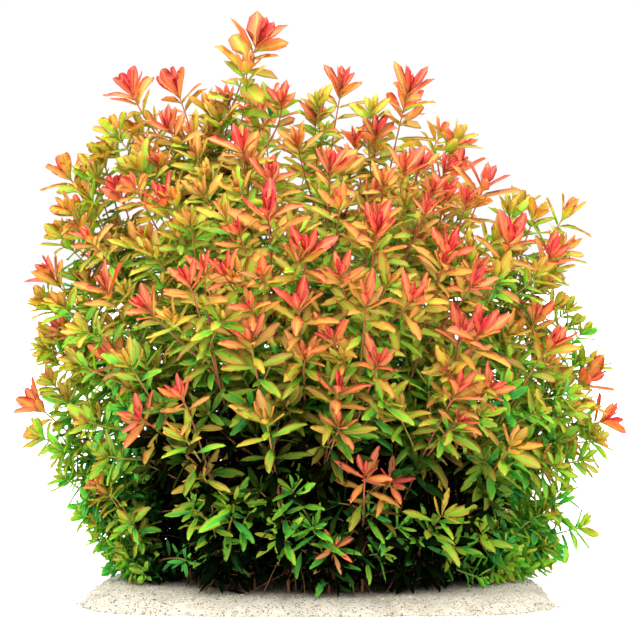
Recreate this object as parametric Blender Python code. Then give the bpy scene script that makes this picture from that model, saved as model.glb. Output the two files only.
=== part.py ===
"""Green rotala macrandra: a bush of rooted leafy shoots that grow out of a low bed of sand.

Each shoot is one closed solid. It is as thin as the stem at its foot, stands in its own hole in
the sand, and widens into the envelope of its leaves and side shoots, up to the leaf tips.
X is to the right, Y away from the front, Z up, and the origin is under the middle of the sand.
"""

import math

import bmesh
import bpy
import numpy as np
from mathutils import Vector

MM = 0.001
OBJECT_NAME = "green_rotala_macrandra"

# The sand bed, a low slab with a sloped rim. Its profile holds shares of the slope and height.
# Seen from above it is widest in front of its middle, and rounder behind that line
BED_HALF_WIDTH = 0.150
BED_HALF_DEPTH = 0.112
BED_HEIGHT = 0.008
BED_SLOPE = 0.022
BED_PROFILE = ((1.0, 1.0), (0.55, 0.78), (0.15, 0.40), (0.0, 0.18), (0.0, 0.0))
BED_SQUARENESS = 3.2
BED_BACK_SQUARENESS = 2.3
BED_WIDEST_FORWARD = 0.060
BED_SIDES = 40

# The rooted foot of every stem
STEM_RADIUS = 0.0015
ROOT_DEPTH = 0.006
HOLE_GAP = 0.0003
HOLE_SIDES = 6
HOLE_FLOOR = BED_HEIGHT - ROOT_DEPTH - HOLE_GAP
COLLAR_HEIGHT = 0.004
FEET_HALF_WIDTH = 0.116
FEET_HALF_DEPTH = 0.078
FEET_SPACING = 0.0205

# The feet are eased apart in rounds, each by a share of the spacing that they lack
FEET_ROUNDS = 120
FEET_EASING = 0.35

# The bend of a stem: how far it runs upright, and how far out, before and after its bend, as
# shares of its length, and how its tip heads outwards when it leans
UPRIGHT_RUN = 0.34
OUTWARD_RUN = 0.14
TIP_RUN = 0.34
TIP_OUT = (0.25, 1.00)
TIP_UP = (1.15, 0.30)

# The leafy envelope of a shoot: its stations along the stem, where it is widest, and where it
# starts to close over the tip
STATIONS = (0.0, 0.18, 0.36, 0.54, 0.70, 0.84, 0.94, 1.0)
LEAF_REACH = 0.034
WIDEST_FROM = 0.70
SWELL_POWER = 0.8
CLOSING_FROM = 0.84
CLOSING_SPAN = 0.162
TIP_RADIUS = 0.006
SHOOT_CLEARANCE = 0.0009
GROUND_CLEARANCE = 0.0015
SAMPLES_PER_SPAN = 9
SAMPLES_AT_ONCE = 800

# The dome that the tips make, at seven heights from the ground up. A tip near the ground hangs
# out by the widest polar angle, seen from the dome's centre
DOME_CENTRE_HEIGHT = 0.085
DOME_WIDEST_LEVEL = 2
DOME_WIDEST_POLAR = math.radians(112.0)
DOME_HEIGHTS = (0.0, 0.060, 0.120, 0.200, 0.270, 0.320, 0.375)
DOME_HALF_WIDTHS = (0.135, 0.168, 0.192, 0.186, 0.165, 0.125, 0.060)
DOME_HALF_DEPTHS = (0.090, 0.108, 0.140, 0.150, 0.132, 0.102, 0.050)
DOME_EDGE = 0.12

# The front and outline shoots: tip across and tip height in millimetres, then its place in depth,
# from -1 on the front of the dome through 0 in the middle
FRONT_SHOOTS = (
    (-32, 364, -0.10), (18, 336, 0.15), (62, 333, -0.15), (-96, 332, 0.50),
    (92, 296, 0.10), (109, 268, -0.45), (166, 250, 0.00), (-168, 276, 0.00),
    (-180, 210, 0.05), (-192, 124, 0.00), (-172, 76, -0.25), (-128, 24, -0.85),
    (184, 143, 0.00), (176, 41, -0.20), (132, 24, -0.85),
    (-48, 290, -0.60), (8, 276, -0.70), (55, 275, -0.65), (-98, 256, -0.70),
    (-30, 246, -0.95), (36, 236, -0.95), (81, 224, -0.90), (123, 232, -0.75),
    (-135, 201, -0.75), (-78, 203, -1.00), (-12, 190, -1.00), (29, 192, -1.00),
    (100, 176, -1.00), (-118, 154, -0.95), (-41, 170, -1.00), (14, 140, -1.00),
    (150, 166, -0.75), (87, 139, -1.00), (-84, 110, -1.00), (-32, 123, -1.00),
    (28, 90, -1.00), (124, 104, -0.95), (-66, 56, -0.95), (8, 44, -0.95), (72, 54, -0.95),
)

# The back shoots, in rows from the top down: tip height, then the tips across, in millimetres
BACK_ROWS = (
    (326, (-40, 62)),
    (282, (-112, -4, 100)),
    (222, (-150, -62, 36, 132)),
    (156, (-166, -100, -14, 76, 158)),
    (86, (-134, -52, 34, 118)),
)

# The tips are placed as they look from in front and a little above, so a tip in front of the
# middle stands higher than it looks by this share of its distance forward
FORWARD_RISE = 0.05

# Stems that bow to one side, by their place in the order of the tips: how far the lower and the
# upper half is drawn across, in millimetres
STEM_BOWS = {0: (-45, -95)}

SAND_COLOUR = (0.66, 0.57, 0.43, 1.0)
LOW_LEAF_COLOUR = (0.13, 0.30, 0.04, 1.0)
HIGH_LEAF_COLOUR = (0.52, 0.21, 0.05, 1.0)
SAND_ROUGHNESS = 0.9
LEAF_ROUGHNESS = 0.45


def clear_scene():
    """Remove what the scene holds."""
    for item in list(bpy.data.objects):
        bpy.data.objects.remove(item, do_unlink=True)


def new_collection(name):
    collection = bpy.data.collections.new(name)
    bpy.context.scene.collection.children.link(collection)
    return collection


def plain_material(name, colour, roughness):
    """A Principled material with one colour and no metal."""
    material = bpy.data.materials.new(name)
    material.use_nodes = True
    shader = material.node_tree.nodes["Principled BSDF"]
    shader.inputs["Base Color"].default_value = colour
    shader.inputs["Roughness"].default_value = roughness
    shader.inputs["Metallic"].default_value = 0.0
    return material


def leaf_colour(height):
    """Green near the ground, warm orange at the top of the dome."""
    share = min(max(height / DOME_HEIGHTS[-1], 0.0), 1.0)
    return tuple(low + (high - low) * share for low, high in zip(LOW_LEAF_COLOUR, HIGH_LEAF_COLOUR))


def dome_half_sizes(height):
    """Half the dome's width and depth at one height."""
    width = float(np.interp(height, DOME_HEIGHTS, DOME_HALF_WIDTHS))
    depth = float(np.interp(height, DOME_HEIGHTS, DOME_HALF_DEPTHS))
    return width, depth


def tip_point(across_mm, height_mm, depth_place):
    """A tip's place, from its picture-plane place and how far forward on the dome it is."""
    across = across_mm * MM
    height = height_mm * MM
    half_width, half_depth = dome_half_sizes(height)
    roundness = math.sqrt(max(DOME_EDGE, 1.0 - (across / half_width) ** 2))
    forward = depth_place * half_depth * roundness
    return Vector((across, forward, height + FORWARD_RISE * max(-forward, 0.0)))


def all_tips():
    """Every shoot's tip: the hand-placed front ones, then the back rows."""
    tips = [tip_point(*entry) for entry in FRONT_SHOOTS]
    for height_mm, row in BACK_ROWS:
        tips.extend(tip_point(across_mm, height_mm, 1.0) for across_mm in row)
    return tips


def feet_for(tips):
    """Feet spread over an ellipse as their tips spread over the dome, then eased apart."""
    half_width = DOME_HALF_WIDTHS[DOME_WIDEST_LEVEL]
    half_depth = DOME_HALF_DEPTHS[DOME_WIDEST_LEVEL]
    crown_rise = DOME_HEIGHTS[-1] - DOME_CENTRE_HEIGHT
    places = []
    for tip in tips:
        out = Vector((tip.x / half_width, tip.y / half_depth, 0.0))
        polar = math.atan2(out.length, (tip.z - DOME_CENTRE_HEIGHT) / crown_rise)
        reach = math.sin(0.5 * polar) / math.sin(0.5 * DOME_WIDEST_POLAR)
        place = out.normalized() * reach
        places.append((place.x, place.y))
    sizes = np.array((FEET_HALF_WIDTH, FEET_HALF_DEPTH))
    spots = np.array(places) * sizes
    for _ in range(FEET_ROUNDS):
        offsets = spots[:, None, :] - spots[None, :, :]
        gaps = np.linalg.norm(offsets, axis=2)
        np.fill_diagonal(gaps, 1.0)
        short = np.clip(FEET_SPACING - gaps, 0.0, None)
        push = offsets / np.maximum(gaps, 1e-6)[:, :, None] * short[:, :, None]
        spots = spots + FEET_EASING * push.sum(axis=1)
        outside = np.maximum(np.linalg.norm(spots / sizes, axis=1), 1.0)
        spots = spots / outside[:, None]
    return [Vector((x, y, BED_HEIGHT)) for x, y in spots]


def between(pair, share):
    """The value at a share of the way from the pair's first to its second."""
    return pair[0] + (pair[1] - pair[0]) * share


def bezier(start, first, second, end, t):
    """A point on a cubic curve."""
    s = 1.0 - t
    return start * s**3 + first * (3 * s * s * t) + second * (3 * s * t * t) + end * t**3


def centreline(foot, tip, bow):
    """The stem's line: straight up out of the sand, then leaning out towards its tip."""
    collar = foot + Vector((0.0, 0.0, COLLAR_HEIGHT))
    run = tip - collar
    flat = Vector((run.x, run.y, 0.0))
    lean = flat.length / run.length
    out = flat.normalized()
    up = Vector((0.0, 0.0, 1.0))
    rise = up * (UPRIGHT_RUN - OUTWARD_RUN * lean) + out * OUTWARD_RUN * lean
    heading = out * between(TIP_OUT, lean) + up * between(TIP_UP, lean)
    first = collar + rise * run.length + Vector((bow[0] * MM, 0.0, 0.0))
    second = tip - heading.normalized() * TIP_RUN * run.length + Vector((bow[1] * MM, 0.0, 0.0))
    points = [foot - Vector((0.0, 0.0, ROOT_DEPTH))]
    points.extend(bezier(collar, first, second, tip, t) for t in STATIONS)
    return points


def spans_sampled(points):
    """Points along each straight span of a line, and the span that each belongs to."""
    samples, spans = [], []
    for index in range(len(points) - 1):
        for step in range(SAMPLES_PER_SPAN + 1):
            share = step / SAMPLES_PER_SPAN
            samples.append(tuple(points[index].lerp(points[index + 1], share)))
            spans.append(index)
    return np.array(samples), np.array(spans)


def free_radii(lines):
    """For each line, the widest radius at each point that keeps clear of every other line."""
    sampled = [spans_sampled(line) for line in lines]
    result = []
    for index, (samples, spans) in enumerate(sampled):
        others = np.concatenate([s for k, (s, _) in enumerate(sampled) if k != index])
        gaps = np.full(len(samples), np.inf)
        for start in range(0, len(others), SAMPLES_AT_ONCE):
            block = others[start:start + SAMPLES_AT_ONCE]
            distance = np.linalg.norm(samples[:, None, :] - block[None, :, :], axis=2)
            gaps = np.minimum(gaps, distance.min(axis=1))
        span_gaps = [gaps[spans == k].min() for k in range(len(lines[index]) - 1)]
        free = []
        for k in range(len(lines[index])):
            near = span_gaps[max(k - 1, 0):k + 1]
            free.append(0.5 * min(near) - SHOOT_CLEARANCE)
        result.append(free)
    return result


def envelope(points, free):
    """Radii along a shoot: thin at the foot, wide in the leaves, rounded off at the tip."""
    radii = [STEM_RADIUS, STEM_RADIUS]
    for k in range(2, len(points)):
        share = STATIONS[k - 1]
        swell = min(share / WIDEST_FROM, 1.0) ** SWELL_POWER
        past = max(share - CLOSING_FROM, 0.0) / CLOSING_SPAN
        wide = max(LEAF_REACH * swell * math.sqrt(1.0 - past * past), TIP_RADIUS)
        above_ground = points[k].z - BED_HEIGHT - GROUND_CLEARANCE
        radii.append(max(STEM_RADIUS, min(wide, free[k], above_ground)))
    return radii


def shoot(name, points, radii, material, collection):
    """One shoot as a tube with filled ends whose radius follows its leaves."""
    curve = bpy.data.curves.new(name, "CURVE")
    curve.dimensions = "3D"
    curve.bevel_depth = STEM_RADIUS
    curve.bevel_resolution = 2
    curve.use_fill_caps = True
    spline = curve.splines.new("POLY")
    spline.points.add(len(points) - 1)
    for target, point, radius in zip(spline.points, points, radii):
        target.co = (point.x, point.y, point.z, 1.0)
        target.radius = radius / STEM_RADIUS
    spline.use_smooth = True
    curve.materials.append(material)
    made = bpy.data.objects.new(name, curve)
    collection.objects.link(made)
    return made


def squared_off(x, y, half_width, half_depth):
    """A point of the unit circle moved out to the bed's outline, at the given half sizes."""
    power = 2.0 / (BED_SQUARENESS if y < 0.0 else BED_BACK_SQUARENESS)
    reach = half_depth + math.copysign(BED_WIDEST_FORWARD, y)
    across = math.copysign(abs(x) ** power, x) * half_width
    along = math.copysign(abs(y) ** power, y) * reach - BED_WIDEST_FORWARD
    return across, along


def sand_bed(material, collection):
    """The sand: rings of its outline lofted from a flat top down a slope to a thin rim."""
    mesh = bpy.data.meshes.new("sand_bed")
    shape = bmesh.new()
    rings = []
    for inset_share, height_share in BED_PROFILE:
        inset = inset_share * BED_SLOPE
        height = height_share * BED_HEIGHT
        ring = []
        for side in range(BED_SIDES):
            angle = 2.0 * math.pi * side / BED_SIDES
            x, y = squared_off(
                math.cos(angle), math.sin(angle), BED_HALF_WIDTH - inset, BED_HALF_DEPTH - inset
            )
            ring.append(shape.verts.new((x, y, height)))
        rings.append(ring)
    shape.faces.new(rings[0])
    shape.faces.new(list(reversed(rings[-1])))
    for upper, lower in zip(rings, rings[1:]):
        for side in range(BED_SIDES):
            following = (side + 1) % BED_SIDES
            shape.faces.new((upper[side], lower[side], lower[following], upper[following]))
    bmesh.ops.recalc_face_normals(shape, faces=shape.faces[:])
    shape.to_mesh(mesh)
    shape.free()
    mesh.materials.append(material)
    made = bpy.data.objects.new("sand_bed", mesh)
    collection.objects.link(made)
    return made


def root_holes(feet, collection):
    """One cutter for all the blind holes that the stems are planted in."""
    mesh = bpy.data.meshes.new("root_holes")
    shape = bmesh.new()
    across_flats = math.cos(math.pi / HOLE_SIDES)
    radius = (STEM_RADIUS + HOLE_GAP) / across_flats
    top = BED_HEIGHT + ROOT_DEPTH
    for foot in feet:
        ring = bmesh.ops.create_cone(
            shape, cap_ends=True, segments=HOLE_SIDES,
            radius1=radius, radius2=radius, depth=top - HOLE_FLOOR,
        )
        middle = Vector((foot.x, foot.y, 0.5 * (top + HOLE_FLOOR)))
        bmesh.ops.translate(shape, verts=ring["verts"], vec=middle)
    shape.to_mesh(mesh)
    shape.free()
    cutter = bpy.data.objects.new("root_holes", mesh)
    cutter.hide_render = True
    cutter.display_type = "WIRE"
    collection.objects.link(cutter)
    return cutter


def main():
    clear_scene()
    parts = new_collection(OBJECT_NAME)
    cutters = new_collection("cutters")

    tips = all_tips()
    feet = feet_for(tips)
    lines = [
        centreline(foot, tip, STEM_BOWS.get(index, (0.0, 0.0)))
        for index, (foot, tip) in enumerate(zip(feet, tips))
    ]
    free = free_radii(lines)

    bed = sand_bed(plain_material("sand", SAND_COLOUR, SAND_ROUGHNESS), parts)
    cut = bed.modifiers.new("root holes", "BOOLEAN")
    cut.operation = "DIFFERENCE"
    cut.solver = "EXACT"
    cut.object = root_holes(feet, cutters)

    for number, (tip, line, room) in enumerate(zip(tips, lines, free), start=1):
        name = f"shoot_{number:02d}"
        material = plain_material(f"{name}_leaf", leaf_colour(tip.z), LEAF_ROUGHNESS)
        shoot(name, line, envelope(line, room), material, parts)


main()
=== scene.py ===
"""Green rotala macrandra: a planted bush of red-tipped leafy stems on a low bed of pale sand.

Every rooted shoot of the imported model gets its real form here: a main stem, its side twigs, and
the pairs of leaves along them, joined in one mesh that stands where the shoot's solid stands.
"""
import math

import bpy
import numpy as np
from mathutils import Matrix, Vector


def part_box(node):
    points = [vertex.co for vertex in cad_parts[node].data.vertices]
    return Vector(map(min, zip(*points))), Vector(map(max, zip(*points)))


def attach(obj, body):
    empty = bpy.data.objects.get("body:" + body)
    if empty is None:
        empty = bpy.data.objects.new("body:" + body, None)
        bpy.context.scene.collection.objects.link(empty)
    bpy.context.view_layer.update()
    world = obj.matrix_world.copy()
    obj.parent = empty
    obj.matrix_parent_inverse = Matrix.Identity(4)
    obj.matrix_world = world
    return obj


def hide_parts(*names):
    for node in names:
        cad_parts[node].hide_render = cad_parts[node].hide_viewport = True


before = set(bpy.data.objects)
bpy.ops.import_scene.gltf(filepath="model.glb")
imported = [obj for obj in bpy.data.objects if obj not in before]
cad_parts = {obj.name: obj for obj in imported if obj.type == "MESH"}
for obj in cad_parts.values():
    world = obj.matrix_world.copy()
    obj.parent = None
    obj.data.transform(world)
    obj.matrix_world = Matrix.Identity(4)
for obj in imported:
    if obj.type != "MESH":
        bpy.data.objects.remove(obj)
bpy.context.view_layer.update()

bl_info = {
    "name": "Rotala bush",
    "version": (1, 0, 0),
    "blender": (4, 5, 0),
    "location": "View3D > Sidebar > Rotala",
    "description": "Grows a planted rotala bush, shoot by shoot, on its bed of sand",
    "category": "Add Mesh",
}

MM = 0.001
SEED = 20
BED_LOW, BED_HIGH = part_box("sand_bed")

# The plan of the shoots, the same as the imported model's
BED_HEIGHT = BED_HIGH[2]
ROOT_DEPTH = 0.006
COLLAR_HEIGHT = 0.004
FEET_HALF_WIDTH = 0.116
FEET_HALF_DEPTH = 0.078
FEET_SPACING = 0.0205
FEET_ROUNDS = 120
FEET_EASING = 0.35
UPRIGHT_RUN = 0.34
OUTWARD_RUN = 0.14
TIP_RUN = 0.34
TIP_OUT = (0.25, 1.00)
TIP_UP = (1.15, 0.30)
DOME_CENTRE_HEIGHT = 0.085
DOME_WIDEST_LEVEL = 2
DOME_WIDEST_POLAR = math.radians(112.0)
DOME_HEIGHTS = (0.0, 0.060, 0.120, 0.200, 0.270, 0.320, 0.375)
DOME_HALF_WIDTHS = (0.135, 0.168, 0.192, 0.186, 0.165, 0.125, 0.060)
DOME_HALF_DEPTHS = (0.090, 0.108, 0.140, 0.150, 0.132, 0.102, 0.050)
DOME_EDGE = 0.12
FORWARD_RISE = 0.05
STEM_BOWS = {0: (-45, -95)}

# The front and outline shoots: tip across and tip height in millimetres, then its place in depth,
# from -1 on the front of the dome through 0 in the middle, then how red its tip is, from 0 for
# deep green to 1 for crimson, and the length of its leaves in millimetres
FRONT_SHOOTS = (
    (-32, 364, -0.10, 1.00, 25), (18, 336, 0.15, 1.00, 21), (62, 333, -0.15, 1.00, 23),
    (-96, 332, 0.50, 0.98, 20), (92, 296, 0.10, 1.00, 20), (109, 268, -0.45, 1.00, 22),
    (166, 250, 0.00, 0.72, 20), (-168, 276, 0.00, 0.70, 20), (-180, 210, 0.05, 0.92, 22),
    (-192, 124, 0.00, 0.90, 20), (-172, 76, -0.25, 0.40, 17), (-128, 24, -0.85, 0.30, 15),
    (184, 143, 0.00, 1.00, 24), (182, 41, -0.10, 0.30, 20), (132, 24, -0.85, 0.30, 16),
    (-48, 290, -0.60, 1.00, 21), (8, 276, -0.70, 1.00, 22), (55, 275, -0.65, 0.98, 20),
    (-98, 256, -0.70, 0.96, 20), (-30, 246, -0.95, 1.00, 24), (36, 236, -0.95, 1.00, 24),
    (81, 224, -0.90, 1.00, 22), (123, 232, -0.75, 0.98, 22), (-135, 201, -0.75, 0.95, 20),
    (-78, 203, -1.00, 0.97, 21), (-12, 190, -1.00, 0.98, 22), (29, 192, -1.00, 0.98, 22),
    (100, 176, -1.00, 0.98, 23), (-118, 154, -0.95, 0.50, 20), (-41, 170, -1.00, 0.92, 21),
    (14, 140, -1.00, 0.95, 21), (150, 166, -0.75, 0.85, 20), (87, 139, -1.00, 0.95, 22),
    (-84, 110, -1.00, 0.50, 21), (-32, 123, -1.00, 0.62, 22), (28, 90, -1.00, 0.90, 21),
    (124, 104, -0.95, 0.55, 20), (-66, 56, -0.95, 0.35, 20), (8, 44, -0.95, 0.28, 19),
    (72, 54, -0.95, 0.32, 20),
)

# The back shoots, in rows from the top down: tip height, then the tips across, in millimetres
BACK_ROWS = (
    (326, (-40, 62)),
    (282, (-112, -4, 100)),
    (222, (-150, -62, 36, 132)),
    (156, (-166, -100, -14, 76, 158)),
    (86, (-134, -52, 34, 118)),
)

# Side tips that the front shows between the shoots' own, in the same five values
SIDE_TIPS = (
    (-124, 331, 0.10, 1.00, 22), (-98, 305, -0.30, 0.97, 19), (-25, 321, -0.20, 0.95, 15),
    (-1, 314, -0.10, 1.00, 18), (38, 300, -0.30, 1.00, 18), (24, 295, -0.20, 0.96, 17),
    (-30, 268, -0.60, 0.98, 18), (84, 260, -0.40, 1.00, 18), (138, 255, 0.20, 0.45, 16),
    (-131, 262, -0.30, 0.97, 18), (13, 207, -0.95, 0.95, 18), (-148, 230, -0.60, 0.90, 15),
    (-107, 187, -0.85, 0.92, 18), (-9, 222, -0.95, 1.00, 20), (77, 212, -0.90, 1.00, 19),
    (95, 202, -0.90, 0.97, 18), (140, 182, -0.50, 0.86, 18), (158, 189, -0.20, 0.55, 15),
    (170, 175, 0.00, 0.34, 14), (-172, 172, -0.20, 0.90, 17), (-132, 157, -0.70, 0.90, 18),
    (88, 172, -0.95, 0.98, 20), (8, 168, -1.00, 0.96, 18), (36, 155, -1.00, 0.95, 18),
    (-112, 118, -1.00, 0.94, 18), (198, 112, 0.10, 1.00, 20), (14, 115, -1.00, 0.80, 20),
    (48, 80, -1.00, 0.95, 17), (-74, 83, -1.00, 0.50, 21), (-148, 70, -0.50, 0.62, 16),
    (-17, 78, -0.98, 0.22, 20), (-53, 68, -1.02, 0.34, 23), (-42, 60, -0.95, 0.20, 19),
    (-25, 60, -1.00, 0.30, 17), (36, 58, -1.00, 0.18, 20), (56, 48, -1.00, 0.24, 19),
    (83, 60, -1.05, 0.42, 24), (-29, 44, -1.05, 0.45, 19), (12, 36, -1.08, 0.85, 12),
    (155, 50, -0.50, 0.40, 15), (85, 34, -1.00, 0.34, 17), (-4, 52, -1.03, 0.18, 20),
    (-56, 207, -0.95, 1.00, 17), (44, 30, -1.00, 0.26, 15), (-67, 210, -0.95, 1.00, 15),
    (104, 44, -0.95, 0.34, 18), (-82, 62, -1.00, 0.30, 18), (140, 24, -0.60, 0.30, 15),
    (-140, 292, 0.00, 0.50, 20), (-120, 303, 0.20, 0.55, 20), (-118, 262, -0.60, 0.85, 16),
    (-84, 300, -0.20, 0.62, 20), (-66, 312, -0.20, 0.60, 21), (-150, 262, -0.20, 0.50, 19),
    (-118, 278, -0.50, 0.52, 20), (-74, 318, -0.10, 0.62, 17), (-60, 323, -0.10, 0.92, 14),
    (-170, 235, 0.00, 0.46, 18), (-186, 190, 0.10, 0.50, 18), (-179, 140, -0.10, 0.50, 17),
    (-159, 239, -0.30, 0.62, 19), (-184, 160, 0.00, 0.45, 17), (-190, 100, 0.00, 0.35, 17),
    (-166, 190, -0.50, 0.55, 18), (-158, 150, -0.70, 0.50, 18), (-150, 115, -0.80, 0.45, 18),
    (184, 150, 0.00, 0.50, 18), (190, 96, -0.10, 0.45, 17), (180, 86, -0.30, 0.40, 17),
    (167, 67, 0.00, 0.35, 16), (170, 120, -0.50, 0.50, 18), (-160, 50, -0.50, 0.30, 15),
    (-150, 32, -0.40, 0.26, 14), (160, 84, -0.60, 0.40, 17), (-140, 90, -0.80, 0.40, 17),
    (-49, 232, -0.85, 0.90, 15), (-35, 204, -0.95, 0.80, 14), (65, 277, -0.50, 1.00, 16),
    (86, 276, -0.20, 0.95, 16), (74, 261, -0.50, 0.95, 15), (95, 255, -0.50, 0.95, 16),
    (68, 247, -0.75, 0.97, 16), (56, 192, -0.98, 0.95, 18), (-85, 134, -1.00, 0.92, 16),
    (107, 137, -0.95, 0.90, 16), (-14, 293, -0.30, 0.75, 18), (-83, 23, -1.00, 0.15, 10),
    (-41, 185, -1.00, 0.85, 16), (88, 117, -1.00, 0.90, 14), (-146, 276, -0.10, 0.50, 19),
    (-117, 227, -0.60, 0.55, 19), (-161, 208, 0.00, 0.35, 17), (-104, 221, -0.70, 0.50, 19),
    (150, 201, -0.10, 0.60, 17), (160, 217, 0.00, 0.60, 17), (-89, 253, -0.70, 0.55, 17),
    (-73, 257, -0.70, 0.70, 17), (-57, 244, -0.80, 0.60, 18), (-78, 238, -0.80, 0.55, 17),
    (-52, 259, -0.70, 0.65, 17), (-45, 278, -0.50, 0.70, 17), (-70, 269, -0.50, 0.60, 17),
    (13, 250, -0.80, 0.70, 18), (36, 241, -0.85, 0.75, 17), (17, 278, -0.50, 0.80, 17),
    (41, 263, -0.70, 0.80, 17), (-10, 216, -0.95, 0.60, 17), (-133, 302, -0.20, 0.55, 17),
    (-112, 290, -0.30, 0.70, 17), (-143, 287, 0.00, 0.45, 17), (-103, 279, -0.40, 0.80, 16),
    (-121, 275, -0.40, 0.55, 17), (-91, 293, -0.20, 0.55, 18), (-71, 300, -0.10, 0.60, 18),
    (-80, 285, -0.40, 0.60, 18), (167, 185, 0.00, 0.50, 14), (178, 170, 0.00, 0.40, 13),
    (161, 163, -0.20, 0.50, 15), (152, 151, -0.40, 0.55, 15), (173, 151, 0.00, 0.50, 15),
    (178, 122, -0.10, 0.55, 15), (183, 101, 0.00, 0.40, 14), (170, 94, -0.20, 0.45, 15),
    (165, 81, -0.20, 0.40, 15), (152, 87, -0.40, 0.50, 16), (144, 249, -0.10, 0.60, 18),
    (-183, 189, 0.00, 0.55, 16), (-174, 168, 0.00, 0.55, 16), (-180, 152, 0.00, 0.50, 15),
    (-139, 12, -0.80, 0.20, 11), (-128, 12, -0.90, 0.25, 12), (-114, 12, -0.95, 0.30, 11),
    (-148, 44, -0.50, 0.50, 13), (-152, 57, -0.40, 0.30, 12), (-136, 29, -0.70, 0.30, 13),
    (-142, 64, -0.50, 0.60, 14), (-124, 47, -0.80, 0.35, 14), (-158, 76, -0.20, 0.30, 11),
    (-167, 79, -0.10, 0.25, 10), (129, 19, -0.80, 0.30, 13), (144, 12, -0.50, 0.25, 12),
    (137, 12, -0.60, 0.20, 11), (119, 12, -0.90, 0.25, 12), (149, 44, -0.40, 0.30, 12),
    (159, 51, -0.20, 0.35, 12), (153, 27, -0.30, 0.30, 12), (152, 13, -0.40, 0.25, 15),
    (140, 10, -0.75, 0.22, 14), (124, 10, -0.95, 0.28, 14), (108, 10, -1.00, 0.20, 13),
    (157, 25, -0.30, 0.30, 14), (-139, 17, -0.40, 0.30, 14),
)

# A stem ends a share of a leaf's length below its tip point, which the young leaves reach. Rings
# of points are set out along stems and twigs, and the tallest shoot has a habit of its own
TIP_TRIM = 0.55
STEM_RING_GAP = 0.006
TWIG_RING_GAP = 0.009
STEM_LEAFY = 0.93
TALLEST_HABIT = {"breadth": 1.42, "facing": 2.2, "closeness": 0.84}
GOLDEN_TURN = 2.39996

# Where side twigs leave their shoots, how long one is best, and which shoots get more of them
SIDE_TWIG_SHARES = (0.35, 0.45, 0.55, 0.65)
SIDE_TWIG_REACH = 0.065
MORE_TWIGS_BESIDE = 0.10
MORE_TWIGS_BELOW = ((0.15, 7), (0.30, 4))
MORE_FOOT_TWIGS_BESIDE = 0.055
MORE_FOOT_TWIGS = 4

# Twigs that close the crown: where they start and end beside their shoot, as shares of it, how far
# out from it they reach, and their leaves' share of its own
FILL_START = (0.14, 0.80)
FILL_AHEAD = (0.17, 0.33)
FILL_REACH = (0.014, 0.034)
FILL_LEAF_SHARE = (0.70, 0.95)
FILL_CLEARANCE = 0.012

# Twigs that hide the foot: where they start, how far out and up they reach, and their leaves
FOOT_START = (0.010, 0.060)
FOOT_REACH = (0.014, 0.034)
FOOT_RISE = (-0.10, 0.9)
FOOT_REDNESS = (0.02, 0.26)
FOOT_LEAF_LENGTH = (0.009, 0.015)
FOOT_CLEARANCE = 0.004

# The roots on one stem, and how far they wander
ROOT_COUNT = (4, 9)
ROOT_DRIFT = 0.010
ROOT_BOW = 0.007

# Leaf pairs from the growing tip down: gap above the pair and leaf length as shares of the grown
# ones, breadth against a grown leaf's, then the angle between leaf and stem and the leaf's bend
# from base to tip, in degrees
YOUNG_GAPS = (0.05, 0.09, 0.14, 0.22, 0.38, 0.65)
YOUNG_LENGTHS = (0.45, 0.66, 0.84, 0.95, 1.0)
YOUNG_BREADTHS = (1.10, 1.15, 1.15, 1.10, 1.05, 1.0)
LEAF_ANGLES = (9.0, 20.0, 33.0, 44.0, 54.0, 63.0, 70.0, 76.0)
LEAF_BENDS = (-18.0, -12.0, -4.0, 6.0, 15.0, 22.0, 27.0, 32.0)
PAIR_REFERENCE = (0.04, -0.98, 0.12)
FRONT_LIGHT = 0.5
REDNESS_FADE = 0.54
REDNESS_FADE_LENGTH = 0.0090
USUAL_LEAF = 0.021

# How leaves differ by chance: the spread about the usual value, with opening and bend in degrees
# and the turns round the stem and the twist in radians, then the ranges of shares
LEAF_SPREAD = {
    "pair turn": 0.16, "leaf turn": 0.10, "opening": 7.0, "bend": 15.0, "twist": 0.35,
    "twig redness": 0.03, "leaf redness": 0.04,
}
LEAF_RANGE = {"gap": (0.80, 1.15), "length": (0.93, 1.30), "width": (0.86, 1.16), "wave": (0.3, 1.0)}
WIDEST_OPENING = 84.0

# Rules by height over the floor: the heights in metres, then the values at them
TIP_ELEVATION = ((0.02, 0.10, 0.20, 0.33), (4, 24, 56, 76))
LEAF_BREADTH = ((0.03, 0.11, 0.20, 0.30), (0.66, 0.76, 0.90, 1.08))
TWIG_REDNESS = ((0.04, 0.12, 0.17, 0.23), (0.0, 0.40, 0.70, 1.0))
LEAST_REDNESS = ((0.03, 0.09, 0.16, 0.26), (0.02, 0.10, 0.23, 0.38))
ROSETTE_OPENING = ((0.07, 0.14), (26.0, 0.0))
BACK_REDNESS = ((0.060, 0.120, 0.200), (0.35, 0.85, 1.0))

# The painted shade in the foot of the bush: how far inside the dome and how low it lies, and where
# the lit flanks beside it, with less painted shade, begin
DARK_INSIDE = 0.93
DARK_FADE = 0.42
DARK_BELOW = 0.065
DARK_RISE = 0.085
FLANK_START = 0.09
FLANK_FADE = 0.03
FLANK_BREADTH = 1.10
FLANK_LIGHT = 0.85

# The hollow in the front of the foot, where more shade is painted: its top at places across, then
# its size and soft edges
HOLLOW_TOP = ((-0.10, -0.02, 0.03), (0.104, 0.104, 0.074))
HOLLOW_RISE = 0.045
HOLLOW_HALF_WIDTH = 0.098
HOLLOW_EDGE = 0.022

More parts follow.
